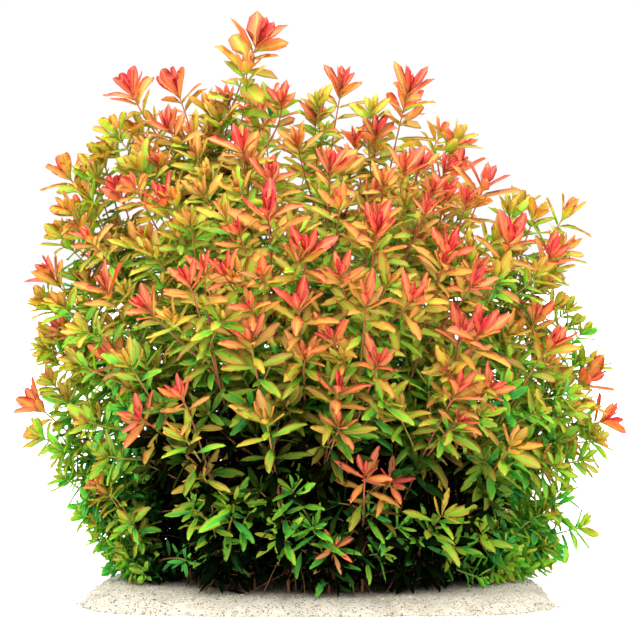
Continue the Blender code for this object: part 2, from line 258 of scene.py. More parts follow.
# Four forms of leaf, the plain and small ones for where little of a leaf is seen. Each has its
# sections from foot to tip, as place along it and share of its full half width, then its places
# across, first over the upper side and then back under it, and how many of those are on the upper
# side
FINE_LEAF = (
    ((0.09, 0.24), (0.28, 0.67), (0.48, 0.98), (0.70, 0.92), (0.91, 0.48)),
    (-1.0, -0.5, 0.0, 0.5, 1.0, 0.0), 5,
)
CROWN_LEAF = (
    (
        (0.07, 0.18), (0.22, 0.43), (0.40, 0.73), (0.57, 0.94), (0.74, 1.00), (0.89, 0.84),
        (0.97, 0.50),
    ),
    (-1.0, -0.5, 0.0, 0.5, 1.0, 0.0), 5,
)
PLAIN_LEAF = (((0.15, 0.36), (0.45, 1.00), (0.80, 0.74)), (-1.0, 0.0, 1.0, 0.0), 3)
SMALL_LEAF = (((0.30, 0.85), (0.72, 0.90)), (-1.0, 0.0, 1.0, 0.0), 3)

# Which leaf gets which form: fine ones lie near a growing tip and far out on the dome, crown ones
# are fine ones high up, and small ones grow on twigs with short leaves
FINE_WITHIN = 0.042
FINE_WITHIN_BY_RULE = 0.020
FINE_OUTSIDE = 0.74
CROWN_LEAVES_ABOVE = 0.25
SMALL_BELOW = 0.0155

# How a leaf's section is cupped, folded and rippled, as shares of its half width
CUP = 0.16
FOLD = 0.10
RIPPLE = 0.12
SPINE_POINTS = 25

# What is known of one leaf: where it grows and faces, its shape, its colour and painted shade,
# then what decides the form it is made in
LEAF = np.dtype([
    ("foot", "f8", 3), ("direction", "f8", 3), ("normal", "f8", 3), ("length", "f8"),
    ("half_width", "f8"), ("bend", "f8"), ("twist", "f8"), ("phase", "f8"), ("wave", "f8"),
    ("redness", "f8"), ("chance", "f8"), ("blend", "f8"), ("shade", "f8"), ("near_tip", "?"),
    ("twig_leaf", "f8"),
])

# How far each effect moves a leaf's colour along the growth ramp
PATCH_SHIFT = 0.22
STREAK_SHIFT = 0.42
EDGE_SHIFT = 0.22
GREENER_LEAF_SHIFT = 0.12
RIB_SHIFT = 0.10

# The rest of the finishes: lightness by leaf, shares, among them the painted shade in the foot, and
# the colours that no one would change, among them the painted shadow on the sand
LEAF_LIGHT_LEAST = 0.98
LEAF_LIGHT_SPREAD = 0.18
# How far the painted shade in the foot darkens the colour
FOOT_DARKENING = 0.985
VEIN_PALENESS = 0.10
RIB_PALENESS = 0.16
LIT_THROUGH = 0.56
STEM_BARK_SHARE = 0.74
SAND_GRAINS_PER_METRE = 1050.0
LEAF_TAN = (0.50, 0.24, 0.13)
VEIN_PALE = (0.86, 0.80, 0.30)
STEM_BARK = (0.165, 0.060, 0.018)
SAND_TAN = (0.62, 0.52, 0.38)
SAND_BROWN = (0.36, 0.24, 0.13)
SAND_DAMP = (0.20, 0.18, 0.13)
# The colour of the painted shadow under the bush, on the sand
SHADOW_COLOUR = (0.030, 0.024, 0.016)

# The stems' share of the map for baking, and how many sides they have
STEM_MAP_SHARE = 0.12
STEM_SIDES = 6
TWIG_SIDES = 4
ROOT_SIDES = 3

# The bed of sand: how finely it is made, its outline from above, the painted shadow under the bush
# on it, and where its surfaces and grains lie on the map
SAND_SIDES = 180
SAND_RINGS = 30
SAND_SQUARENESS = 3.6
SAND_BACK_SQUARENESS = 2.4
SAND_WIDEST_FORWARD = 0.060
SAND_SLOPE_SHARE = 0.17
SHADOW_HALF_WIDTH = 0.118
SHADOW_HALF_DEPTH = 0.080
TOP_PATCH = ((0.01, 0.01), (0.76, 0.56))
UNDER_PATCH = ((0.80, 0.01), (0.19, 0.14))
GRAIN_MAP_LOW = 0.60
GRAIN_MAP_HEIGHT = 0.39

# Loose grains: the outer share of the bed that they lie on, the share of them that strayed past
# the rim and how far, and their sizes, unevenness and flatness
GRAIN_BAND = 0.45
STRAY_SHARE = 0.16
STRAY_REACH = 0.035
GRAIN_SIZES = (0.5, 1.5)
GRAIN_UNEVENNESS = 0.18
GRAIN_FLATNESS = 0.75
OCTAHEDRON = ((1, 0, 0), (0, 1, 0), (-1, 0, 0), (0, -1, 0), (0, 0, 1), (0, 0, -1))
GRAIN_FACES = (
    (0, 1, 4), (1, 2, 4), (2, 3, 4), (3, 0, 4), (1, 0, 5), (2, 1, 5), (3, 2, 5), (0, 3, 5),
)

# The floor, the camera's small step to the right, and the lights, with their angles in degrees
FLOOR_HALF_WIDTH = 6.0
FLOOR_COLOUR = (0.93, 0.93, 0.92)
CAMERA_ACROSS = 0.0013
KEY_PLACE = (-0.15, -0.45, 1.35)
KEY_AIM = (0.0, 0.0, 0.2)
KEY_SIZE = 0.9
WIDE_LIGHT_ANGLE = 70.0
WIDE_LIGHT_TILT = 24.0
WIDE_LIGHT_LEAN = -6.0
BACKDROP_WHITE = 1.02


def at_or_last(values, index):
    """The value at an index, or the last where there are fewer."""
    return values[min(index, len(values) - 1)]


def by_height(rule, height):
    """A rule's value at a height."""
    return float(np.interp(height, *rule))


class LeafSettings(bpy.types.PropertyGroup):
    """Sizes of the leaves."""

    back_length: bpy.props.FloatProperty(
        name="Back leaf length", description="Length of a grown leaf on the back shoots",
        default=0.021, min=0.005, max=0.05, unit="LENGTH",
    )
    width_share: bpy.props.FloatProperty(
        name="Leaf width", description="A leaf's width as a share of its length",
        default=0.30, min=0.1, max=0.8,
    )
    thickness: bpy.props.FloatProperty(
        name="Leaf thickness", description="Thickness of a leaf at its midrib",
        default=0.00035, min=0.0001, max=0.002, unit="LENGTH",
    )
    internode: bpy.props.FloatProperty(
        name="Gap between pairs", description="Grown stem between two pairs of leaves",
        default=0.0092, min=0.003, max=0.03, unit="LENGTH",
    )
    fill_twigs: bpy.props.IntProperty(
        name="Filling twigs", description="Side twigs on each shoot beside those set by hand",
        default=8, min=0, max=16,
    )
    foot_twigs: bpy.props.IntProperty(
        name="Foot twigs", description="Short twigs near the ground on each shoot",
        default=7, min=0, max=12,
    )


class StemSettings(bpy.types.PropertyGroup):
    """Sizes of the stems and roots."""

    foot_radius: bpy.props.FloatProperty(
        name="Stem radius at the foot", description="Radius of a main stem where it is rooted",
        default=0.00105, min=0.0003, max=0.004, unit="LENGTH",
    )
    tip_radius: bpy.props.FloatProperty(
        name="Stem radius at the tip", description="Radius of a stem below its last leaves",
        default=0.00050, min=0.0001, max=0.003, unit="LENGTH",
    )
    root_radius: bpy.props.FloatProperty(
        name="Root radius", description="Radius of the fine roots on the lower stems",
        default=0.00016, min=0.00005, max=0.001, unit="LENGTH",
    )


class SandSettings(bpy.types.PropertyGroup):
    """The loose grains of the sand."""

    grains: bpy.props.IntProperty(
        name="Loose grains", description="How many grains lie on the outer part of the bed",
        default=4600, min=0, max=20000,
    )
    grain_radius: bpy.props.FloatProperty(
        name="Grain radius", description="Radius of a middling grain",
        default=0.00055, min=0.0001, max=0.003, unit="LENGTH",
    )


class ColourSettings(bpy.types.PropertyGroup):
    """Colours from the oldest leaves to the youngest, and of the sand."""

    shade_green: bpy.props.FloatVectorProperty(
        name="Shade green", description="Old leaves in the dark foot of the bush",
        default=(0.015, 0.340, 0.090), size=3, min=0.0, max=1.0, subtype="COLOR",
    )
    fresh_green: bpy.props.FloatVectorProperty(
        name="Fresh green", description="Lower and outer leaves",
        default=(0.090, 0.560, 0.038), size=3, min=0.0, max=1.0, subtype="COLOR",
    )
    leaf_lime: bpy.props.FloatVectorProperty(
        name="Leaf lime", description="The bases of leaves, and leaves inside the crown",
        default=(0.385, 0.590, 0.028), size=3, min=0.0, max=1.0, subtype="COLOR",
    )
    leaf_olive: bpy.props.FloatVectorProperty(
        name="Leaf olive", description="Grown leaves half-way up",
        default=(0.545, 0.425, 0.042), size=3, min=0.0, max=1.0, subtype="COLOR",
    )
    leaf_gold: bpy.props.FloatVectorProperty(
        name="Leaf gold", description="Leaves below a growing tip",
        default=(0.670, 0.335, 0.055), size=3, min=0.0, max=1.0, subtype="COLOR",
    )
    leaf_orange: bpy.props.FloatVectorProperty(
        name="Leaf orange", description="Young leaves round a growing tip",
        default=(0.720, 0.200, 0.075), size=3, min=0.0, max=1.0, subtype="COLOR",
    )
    leaf_red: bpy.props.FloatVectorProperty(
        name="Leaf red", description="The youngest leaves of a growing tip",
        default=(0.700, 0.086, 0.068), size=3, min=0.0, max=1.0, subtype="COLOR",
    )
    heart_red: bpy.props.FloatVectorProperty(
        name="Heart red", description="The folded leaves at the heart of a growing tip",
        default=(0.650, 0.032, 0.060), size=3, min=0.0, max=1.0, subtype="COLOR",
    )
    sand_pale: bpy.props.FloatVectorProperty(
        name="Pale sand", description="Most of the sand's grains",
        default=(0.325, 0.311, 0.258), size=3, min=0.0, max=1.0, subtype="COLOR",
    )
    sand_dark: bpy.props.FloatVectorProperty(
        name="Dark sand", description="The scattered dark grains",
        default=(0.060, 0.045, 0.035), size=3, min=0.0, max=1.0, subtype="COLOR",
    )


class StageSettings(bpy.types.PropertyGroup):
    """The camera, the lights and the floor."""

    camera_distance: bpy.props.FloatProperty(
        name="Camera distance", description="From the middle of the bush to the camera",
        default=1.30, min=0.5, max=5.0, unit="LENGTH",
    )
    camera_height: bpy.props.FloatProperty(
        name="Camera height", description="Height of the camera over the floor",
        default=0.235, min=0.0, max=2.0, unit="LENGTH",
    )
    aim_height: bpy.props.FloatProperty(
        name="Aim height", description="Height of the middle of the picture in the bush",
        default=0.173, min=0.0, max=2.0, unit="LENGTH",
    )
    frame_width: bpy.props.FloatProperty(
        name="Picture width", description="Width that the picture shows at the bush's middle",
        default=0.416, min=0.1, max=5.0, unit="LENGTH",
    )
    key_power: bpy.props.FloatProperty(
        name="Key light", description="Power of the large light overhead",
        default=23.0, min=0.0, max=500.0, unit="POWER",
    )
    wide_strength: bpy.props.FloatProperty(
        name="Wide light", description="Strength of the soft distant light from above the front",
        default=1.9, min=0.0, max=20.0,
    )
    fill_strength: bpy.props.FloatProperty(
        name="Fill light", description="Strength of the even white light from all round",
        default=2.6, min=0.0, max=5.0,
    )


def dome_half_sizes(height):
    """Half the dome's width and depth at one height."""
    width = float(np.interp(height, DOME_HEIGHTS, DOME_HALF_WIDTHS))
    depth = float(np.interp(height, DOME_HEIGHTS, DOME_HALF_DEPTHS))
    return width, depth


def tip_point(across_mm, height_mm, depth_place):
    """A tip's place, from its picture-plane place and how far forward on the dome it is."""
    across = across_mm * MM
    height = height_mm * MM
    half_width, half_depth = dome_half_sizes(height)
    roundness = math.sqrt(max(DOME_EDGE, 1.0 - (across / half_width) ** 2))
    forward = depth_place * half_depth * roundness
    return Vector((across, forward, height + FORWARD_RISE * max(-forward, 0.0)))


def feet_for(tips):
    """Feet spread over an ellipse as their tips spread over the dome, then eased apart."""
    half_width = DOME_HALF_WIDTHS[DOME_WIDEST_LEVEL]
    half_depth = DOME_HALF_DEPTHS[DOME_WIDEST_LEVEL]
    crown_rise = DOME_HEIGHTS[-1] - DOME_CENTRE_HEIGHT
    places = []
    for tip in tips:
        out = Vector((tip.x / half_width, tip.y / half_depth, 0.0))
        polar = math.atan2(out.length, (tip.z - DOME_CENTRE_HEIGHT) / crown_rise)
        reach = math.sin(0.5 * polar) / math.sin(0.5 * DOME_WIDEST_POLAR)
        place = out.normalized() * reach
        places.append((place.x, place.y))
    sizes = np.array((FEET_HALF_WIDTH, FEET_HALF_DEPTH))
    spots = np.array(places) * sizes
    for _ in range(FEET_ROUNDS):
        offsets = spots[:, None, :] - spots[None, :, :]
        gaps = np.linalg.norm(offsets, axis=2)
        np.fill_diagonal(gaps, 1.0)
        short = np.clip(FEET_SPACING - gaps, 0.0, None)
        push = offsets / np.maximum(gaps, 1e-6)[:, :, None] * short[:, :, None]
        spots = spots + FEET_EASING * push.sum(axis=1)
        outside = np.maximum(np.linalg.norm(spots / sizes, axis=1), 1.0)
        spots = spots / outside[:, None]
    return [Vector((x, y, BED_HEIGHT)) for x, y in spots]


def between(pair, share):
    """The value at a share of the way from the pair's first to its second."""
    return pair[0] + (pair[1] - pair[0]) * share


def stem_controls(foot, tip, bow):
    """The four control points of a main stem, from its collar over the sand to its tip."""
    collar = foot + Vector((0.0, 0.0, COLLAR_HEIGHT))
    run = tip - collar
    flat = Vector((run.x, run.y, 0.0))
    lean = flat.length / run.length
    out = flat.normalized()
    up = Vector((0.0, 0.0, 1.0))
    rise = up * (UPRIGHT_RUN - OUTWARD_RUN * lean) + out * OUTWARD_RUN * lean
    heading = out * between(TIP_OUT, lean) + up * between(TIP_UP, lean)
    first = collar + rise * run.length + Vector((bow[0] * MM, 0.0, 0.0))
    second = tip - heading.normalized() * TIP_RUN * run.length + Vector((bow[1] * MM, 0.0, 0.0))
    return collar, first, second, tip


def curve_points(controls, shares):
    """Points on a cubic curve, one row for each share."""
    a, b, c, d = (np.array(point) for point in controls)
    t = np.asarray(shares, dtype=float)[:, None]
    s = 1.0 - t
    return a * s**3 + b * (3 * s * s * t) + c * (3 * s * t * t) + d * t**3


def unit(vectors):
    """Vectors scaled to a length of one."""
    return vectors / np.maximum(np.linalg.norm(vectors, axis=-1, keepdims=True), 1e-12)


class Twig:
    """One stem with its leaves: a line from where it starts to its growing tip."""

    def __init__(
        self, line, leafy, redness, leaf_length, radii, breadth=1.0, shade=None, facing=0.45,
        closeness=1.0,
    ):
        steps = np.linalg.norm(np.diff(line, axis=0), axis=1)
        reach = np.concatenate(([0.0], np.cumsum(steps)))
        kept = reach[-1] - TIP_TRIM * leaf_length
        if shade is None:
            rings = max(8, int(kept / STEM_RING_GAP))
        else:
            rings = max(5, int(kept / TWIG_RING_GAP))
        distances = np.linspace(0.0, kept, rings)
        self.line = np.stack([np.interp(distances, reach, line[:, k]) for k in range(3)], axis=1)
        self.reach = distances
        self.leafy = leafy
        self.redness = redness
        self.leaf_length = leaf_length
        self.radii = radii
        self.breadth = breadth
        self.facing = facing
        self.closeness = closeness
        self.set_by_hand = shade is None
        self.shade = shade or 0.0

    @property
    def length(self):
        """The length of the line."""
        return self.reach[-1]

    def point(self, distance):
        """The point at a distance from the start."""
        return np.array([np.interp(distance, self.reach, self.line[:, k]) for k in range(3)])

    def at(self, distance):
        """The point at a distance from the start, and the stem's direction there."""
        ahead = min(distance + 0.003, self.length)
        behind = max(ahead - 0.006, 0.0)
        return self.point(distance), unit(self.point(ahead) - self.point(behind))


def outwardness(points):
    """How far out from the bush's middle line points lie: 0 on the line, 1 on the dome."""
    points = np.atleast_2d(points)
    widths = np.interp(points[:, 2], DOME_HEIGHTS, DOME_HALF_WIDTHS)
    depths = np.interp(points[:, 2], DOME_HEIGHTS, DOME_HALF_DEPTHS)
    return np.hypot(points[:, 0] / widths, points[:, 1] / depths)


def tip_heading(point, rng):
    """Where a side twig's tip points: out of the bush near the ground, up near the crown."""
    half_width, half_depth = dome_half_sizes(point[2])
    out = unit(np.array((point[0] / half_width, point[1] / half_depth, 0.0)) + 1e-6)
    elevation = math.radians(by_height(TIP_ELEVATION, point[2]))
    heading = out * math.cos(elevation) + np.array((0.0, 0.0, math.sin(elevation)))
    return unit(heading + rng.normal(0.0, 0.12, 3))


def side_twig(parent, start_share, tip, leafy_share, redness, leaf_length, radii, rng, shade=None):
    """A twig that leaves its parent stem and bends round to its own tip."""
    start, along = parent.at(start_share * parent.length)
    run = np.linalg.norm(tip - start)
    heading = tip_heading(tip, rng)
    first = start + unit(along + 0.6 * unit(tip - start)) * run * 0.36
    second = tip - heading * run * 0.36
    line = curve_points((start, first, second, tip), np.linspace(0.0, 1.0, 15))
    return Twig(line, leafy_share, redness, leaf_length, radii, breadth_at(tip), shade)


def flank(across):
    """How far out on the lit flanks places across are, from 0 inside to 1."""
    return np.clip((np.abs(across) - FLANK_START) / FLANK_FADE, 0.0, 1.0)


def breadth_at(point):
    """How broad leaves are against the usual: narrow low in the middle, broad near the crown."""
    middle = by_height(LEAF_BREADTH, point[2])
    return middle + (max(middle, FLANK_BREADTH) - middle) * float(flank(point[0]))


def main_shoots(leaves, stems):
    """The main stem of every shoot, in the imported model's order."""
    plan = [(tip_point(*row[:3]), row[3], row[4] * MM) for row in FRONT_SHOOTS]
    for height_mm, row in BACK_ROWS:
        for across_mm in row:
            redness = by_height(BACK_REDNESS, height_mm * MM)
            plan.append((tip_point(across_mm, height_mm, 1.0), redness, leaves.back_length))
    feet = feet_for([tip for tip, _, _ in plan])
    shoots = []
    for index, ((tip, redness, leaf_length), foot) in enumerate(zip(plan, feet)):
        controls = stem_controls(foot, tip, STEM_BOWS.get(index, (0.0, 0.0)))
        root = np.array(foot - Vector((0.0, 0.0, ROOT_DEPTH - 0.0005)))
        line = np.vstack((root, curve_points(controls, np.linspace(0.0, 1.0, 40))))
        radii = (stems.foot_radius, stems.tip_radius)
        habit = TALLEST_HABIT if index == 0 else {"breadth": breadth_at(tip)}
        shoots.append(Twig(line, STEM_LEAFY, redness, leaf_length, radii, **habit))
    return shoots


def place_side_tips(shoots, stems, rng):
    """The listed side twigs, each on the shoot whose upper stem passes nearest."""
    twigs = [[] for _ in shoots]
    for row in SIDE_TIPS:
        tip = np.array(tip_point(*row[:3]))
        best = None
        for index, shoot in enumerate(shoots):
            for share in SIDE_TWIG_SHARES:
                spot, along = shoot.at(share * shoot.length)
                gap = tip - spot
                forward = float(unit(gap) @ along)
                cost = abs(np.linalg.norm(gap) - SIDE_TWIG_REACH) + 0.06 * (1.0 - forward)
                if best is None or cost < best[0]:
                    best = (cost, index, share)
        _, index, share = best
        radii = (stems.tip_radius * 1.5, stems.tip_radius)
        twigs[index].append(side_twig(
            shoots[index], share, tip, 0.85, row[3], row[4] * MM, radii, rng
        ))
    return twigs


def low_middle(points):
    """How far points are in the hollow of the foot, where hardly any light comes."""
    # These shares darken leaves, stems and roots as painted shade
    points = np.atleast_2d(points)
    top = np.interp(points[:, 0], *HOLLOW_TOP)
    low = 1.0 - np.clip((points[:, 2] - top) / HOLLOW_RISE, 0.0, 1.0)
    beside = np.clip((np.abs(points[:, 0]) - HOLLOW_HALF_WIDTH) / HOLLOW_EDGE, 0.0, 1.0)
    return low * (1.0 - beside)


def rule_redness(tip, rng):
    """How red a twig's tip is by where it grows: green low down and inside, red at the crown."""
    out = float(outwardness(tip)[0])
    high = by_height(TWIG_REDNESS, tip[2])
    bright = 0.30 if rng.random() < 0.18 else 0.0
    return (0.15 + (0.47 + bright) * high) * min(1.0, 0.55 + 0.50 * out) + rng.normal(0.0, 0.07)


def fill_with_twigs(shoot, count, stems, rng):
    """Side twigs spread round a shoot by rule, to close the crown between the set ones."""
    made = []
    turn = rng.uniform(0.0, 2.0 * math.pi)
    for k in range(count):
        start_share = between(FILL_START, (k + rng.uniform(0.2, 0.8)) / count)
        beside_share = min(start_share + rng.uniform(*FILL_AHEAD), 0.97)
        beside, along = shoot.at(beside_share * shoot.length)
        turn += GOLDEN_TURN
        side = unit(np.cross(along, (math.cos(turn), math.sin(turn), 0.35)))
        tip = beside + side * rng.uniform(*FILL_REACH) * (0.60 + 0.5 * beside_share)
        tip[2] = max(tip[2], BED_HEIGHT + FILL_CLEARANCE)
        tip[:2] *= min(1.0, 0.97 / max(float(outwardness(tip)[0]), 0.01))
        length = shoot.leaf_length * rng.uniform(*FILL_LEAF_SHARE)
        radii = (stems.tip_radius * 1.4, stems.tip_radius * 0.9)
        redness = rule_redness(tip, rng)
        # These twigs' leaves get painted shade in the hollow of the foot
        made.append(side_twig(
            shoot, start_share, tip, 0.90, redness, length, radii, rng, shade=0.9
        ))
    return made


def foot_twigs(shoot, count, stems, rng):
    """Short small-leaved twigs from the lowest part of a stem, which hide the bush's foot."""
    made = []
    for _ in range(count):
        start = rng.uniform(FOOT_START[0], min(FOOT_START[1], 0.4 * shoot.length))
        turn = rng.uniform(0.0, 2.0 * math.pi)
        reach = rng.uniform(*FOOT_REACH)
        rise = rng.uniform(*FOOT_RISE) * reach
        out = np.array((math.cos(turn) * reach, math.sin(turn) * reach, rise))
        tip = shoot.point(start) + out
        tip[2] = max(tip[2], BED_HEIGHT + FOOT_CLEARANCE)
        tip[:2] *= min(1.0, 0.93 / max(float(outwardness(tip)[0]), 0.01))
        redness = rng.uniform(*FOOT_REDNESS)
        length = rng.uniform(*FOOT_LEAF_LENGTH)
        radii = (stems.tip_radius, stems.tip_radius * 0.7)
        # These twigs get full painted shade in the hollow of the foot
        made.append(side_twig(
            shoot, start / shoot.length, tip, 0.97, redness, length, radii, rng, shade=1.0
        ))
    return made


def twigs_by_rule(shoot, leaves, stems, rng):
    """The twigs not listed, with more of them low down and beside, where stems are few."""
    tip = shoot.line[-1]
    more = 0
    if abs(tip[0]) > MORE_TWIGS_BESIDE:
        more = next((count for height, count in MORE_TWIGS_BELOW if tip[2] < height), 0)
    filling = fill_with_twigs(shoot, leaves.fill_twigs + more, stems, rng)
    more = MORE_FOOT_TWIGS if abs(shoot.line[0][0]) > MORE_FOOT_TWIGS_BESIDE else 0
    return filling + foot_twigs(shoot, leaves.foot_twigs + more, stems, rng)


def leaves_along(twig, settings, rng):
    """Every leaf of one twig, in opposite pairs that turn by a right angle."""
    leaves = []
    size = (twig.leaf_length / USUAL_LEAF) ** 0.6
    gap_scale = settings.internode * size * twig.closeness
    from_tip = 0.0
    if twig.set_by_hand:
        turn, near_tip = rng.normal(0.25 * math.pi, 0.3), FINE_WITHIN
    else:
        turn, near_tip = rng.uniform(0.0, math.pi), FINE_WITHIN_BY_RULE
    twig_warmth = rng.normal(0.0, LEAF_SPREAD["twig redness"])
    opened = by_height(ROSETTE_OPENING, twig.line[-1][2])
    pair = 0
    while True:
        young = pair < len(YOUNG_GAPS)
        from_tip += gap_scale * (YOUNG_GAPS[pair] if young else rng.uniform(*LEAF_RANGE["gap"]))
        if from_tip > twig.length * twig.leafy:
            break
        base, along = twig.at(twig.length - from_tip)
        side = unit(np.cross(along, PAIR_REFERENCE))
        other = np.cross(along, side)
        heading = turn + 0.5 * math.pi * pair + rng.normal(0.0, LEAF_SPREAD["pair turn"])
        redness = pair_redness(twig, from_tip, base[2]) + twig_warmth
        radius = between(twig.radii[::-1], from_tip / twig.length)
        blend = 1.0 - 0.80 * math.exp(-from_tip / 0.0025)
        # Painted shade in the hollow of the foot: for every leaf of twigs that have it, and from 18
        # mm below any tip
        shade = max(twig.shade, min(max(from_tip - 0.018, 0.0) / 0.02, 1.0))
        light = towards_light(base) * (twig.facing * min(from_tip / 0.008, 1.0))
        for half in (0.0, math.pi):
            angle = heading + half + rng.normal(0.0, LEAF_SPREAD["leaf turn"])
            outward = side * math.cos(angle) + other * math.sin(angle)
            opening = min(at_or_last(LEAF_ANGLES, pair) + opened, WIDEST_OPENING)
            opening = math.radians(opening + rng.normal(0.0, LEAF_SPREAD["opening"]))
            direction = along * math.cos(opening) + outward * math.sin(opening)
            normal = along * math.sin(opening) - outward * math.cos(opening) + light
            normal = unit(normal - direction * (normal @ direction))
            length = twig.leaf_length * at_or_last(YOUNG_LENGTHS, pair)
            length *= rng.uniform(*LEAF_RANGE["length"])
            bend = at_or_last(LEAF_BENDS, pair) + rng.normal(0.0, LEAF_SPREAD["bend"])
            width = 0.5 * length * settings.width_share * twig.breadth
            width *= rng.uniform(*LEAF_RANGE["width"])
            width *= at_or_last(YOUNG_BREADTHS, pair)
            twist, phase = rng.normal(0.0, LEAF_SPREAD["twist"]), rng.uniform(0.0, 6.28)
            wave = rng.uniform(*LEAF_RANGE["wave"])
            warmer = rng.normal(0.0, LEAF_SPREAD["leaf redness"])
            leaves.append((
                base + outward * radius * 0.7, direction, normal, length, width,
                math.radians(bend), twist, phase, wave, redness + warmer, rng.uniform(0.0, 1.0),
                blend, shade, from_tip < near_tip, twig.leaf_length,
            ))
        pair += 1
    return leaves


def pair_redness(twig, from_tip, height):
    """How red a pair of leaves is: as red as its twig's tip, then fading down the stem."""
    faded = REDNESS_FADE * (1.0 - math.exp(-from_tip / REDNESS_FADE_LENGTH))
    redness = twig.redness * (1.0 - faded) - 0.16 * min(from_tip / 0.15, 1.0)
    return max(redness, min(by_height(LEAST_REDNESS, height), twig.redness))


def towards_light(point):
    """The way that leaves at a point turn: up, and out of the bush."""
    half_width, half_depth = dome_half_sizes(point[2])
    front = FRONT_LIGHT if point[1] < 0.02 else 0.0
    return unit(np.array((0.5 * point[0] / half_width, point[1] / half_depth - front, 0.32)))


def darkness(points):
    """How deep in the painted shade of the bush's foot points lie, from 0 outside to 1."""
    depth = np.clip((DARK_INSIDE - outwardness(points)) / DARK_FADE, 0.0, 1.0)
    low = 1.0 - np.clip((points[:, 2] - DARK_BELOW) / DARK_RISE, 0.0, 1.0)
    return depth * low * (1.0 - FLANK_LIGHT * flank(points[:, 0]))


def leaf_spines(leaves, sections):
    """Every leaf's midrib point and upward direction at each section."""
    foot, direction, normal = leaves["foot"], unit(leaves["direction"]), unit(leaves["normal"])
    steps = np.linspace(0.0, 1.0, SPINE_POINTS)
    angle = leaves["bend"][:, None] * (0.35 * steps + 0.65 * steps**2)[None, :]
    nothing = np.zeros((len(leaves), 1))
    ahead = np.hstack((nothing, np.cumsum(np.cos(angle), axis=1)[:, :-1] * steps[1]))
    sink = np.hstack((nothing, np.cumsum(np.sin(angle), axis=1)[:, :-1] * steps[1]))
    length = leaves["length"][:, None]
    spots, ups = [], []
    for share in sections:
        k = share * (SPINE_POINTS - 1)
        low = min(int(k), SPINE_POINTS - 2)
        rest = k - low
        x, z, a = (v[:, low] * (1 - rest) + v[:, low + 1] * rest for v in (ahead, sink, angle))
        spots.append(foot + length * (direction * x[:, None] - normal * z[:, None]))
        ups.append(normal * np.cos(a)[:, None] + direction * np.sin(a)[:, None])
    return spots, ups


def keep_above_ground(points, foot):
    """Flatten the leaves that would reach into the sand or the floor, from their feet down."""
    inside = np.hypot(foot[:, 0] / BED_HIGH[0], foot[:, 1] / BED_HIGH[1]) < 1.0
    ground = np.where(inside, BED_HEIGHT + 0.0004, 0.0010)
    lowest = points[:, :, 2].min(axis=1)
    share = np.clip((foot[:, 2] - ground) / np.maximum(foot[:, 2] - lowest, 1e-6), 0.0, 1.0)
    points[:, :, 2] = foot[:, None, 2] + (points[:, :, 2] - foot[:, None, 2]) * share[:, None]


def leaf_shapes(leaves, settings, form):
    """Corner points and surface values of many leaves at once, each a thin closed blade."""
    form_sections, form_across, form_upper = form
    sections = np.array([0.0] + [place for place, _ in form_sections] + [1.0])
    spots, ups = leaf_spines(leaves, sections)
    across = np.cross(unit(leaves["normal"]), unit(leaves["direction"]))
    half_width = leaves["half_width"]
    points, along_values, across_values = [spots[0][:, None, :]], [0.0], [0.0]
    for k, (section, share) in enumerate(form_sections, start=1):
        turned = leaves["twist"] * section
        side = across * np.cos(turned)[:, None] + ups[k] * np.sin(turned)[:, None]
        up = ups[k] * np.cos(turned)[:, None] - across * np.sin(turned)[:, None]
        wide = half_width * share
        ring = []
        for m, v in enumerate(form_across):
            ahead = 1.6 if v > 0 else 0.0
            swing = np.sin(9.0 * section + leaves["phase"] + ahead)
            ripple = RIPPLE * leaves["wave"] * swing * abs(v) ** 1.5
            cup = (CUP * v * v + FOLD * abs(v) + ripple) * half_width
            if m >= form_upper:
                cup = cup - settings.thickness * (1.0 - 0.45 * abs(v))
            ring.append(spots[k] + side * (wide * v)[:, None] + up * cup[:, None])
        points.append(np.stack(ring, axis=1))
        along_values += [section] * len(form_across)
        across_values += list(form_across)
    points.append(spots[-1][:, None, :])
    points = np.concatenate(points, axis=1)
    keep_above_ground(points, leaves["foot"])
    along_values = np.array(along_values + [1.0])
    across_values = np.array(across_values + [0.0])
    gradient = np.interp(along_values, (0.0, 0.35, 0.70, 1.0), (-0.24, -0.05, 0.0, 0.06))
    warmth = leaves["redness"][:, None] + leaves["blend"][:, None] * gradient[None, :]
    # Painted shade: darker in the foot of the bush, and more in its hollow
    shaded = leaves["shade"] * low_middle(leaves["foot"])
    dark = np.clip(darkness(leaves["foot"]) + shaded, 0.0, 1.0)
    return points, {
        "warmth": np.clip(warmth, 0.0, 1.0),
        "along": np.tile(along_values, (len(leaves), 1)),
        "across": np.tile(across_values, (len(leaves), 1)),
        "chance": np.tile(leaves["chance"][:, None], (1, len(along_values))),
        "dark": np.tile(dark[:, None], (1, len(along_values))),
    }


def leaf_faces(form):
    """The faces of one leaf as corner lists, and each corner's place on its patch of the map."""
    form_sections, form_across, form_upper = form
    ring = len(form_across)
    sections = len(form_sections)
    last = 1 + ring * sections
    faces, places = [], []

    def place(along, m, upper):
        v = form_across[m % ring]
        x = 0.04 + 0.42 * (v + 1.0) / 2.0
        if not upper:
            x = 0.54 + 0.42 * (1.0 - v) / 2.0
        return x, 0.03 + 0.94 * along

    bounds = [0.0] + [section for section, _ in form_sections] + [1.0]
    for k, (low, high) in enumerate(zip(bounds, bounds[1:])):
        for m in range(ring):
            upper = m < form_upper - 1
            n = (m + 1) % ring
            a, b = 1 + ring * (k - 1) + m, 1 + ring * (k - 1) + n
            d, c = a + ring, b + ring
            low_left, low_right = place(low, m, upper), place(low, m + 1, upper)
            high_left, high_right = place(high, m, upper), place(high, m + 1, upper)
            if k == 0:
                faces.append((0, d, c))
                middle = ((low_left[0] + low_right[0]) / 2, low_left[1])
                places.append((middle, high_left, high_right))
            elif k == sections:
                faces.append((a, last, b))
                middle = ((high_left[0] + high_right[0]) / 2, high_left[1])
                places.append((low_left, middle, low_right))
            else:
                faces.append((a, d, c, b))
                places.append((low_left, high_left, high_right, low_right))
    return faces, places


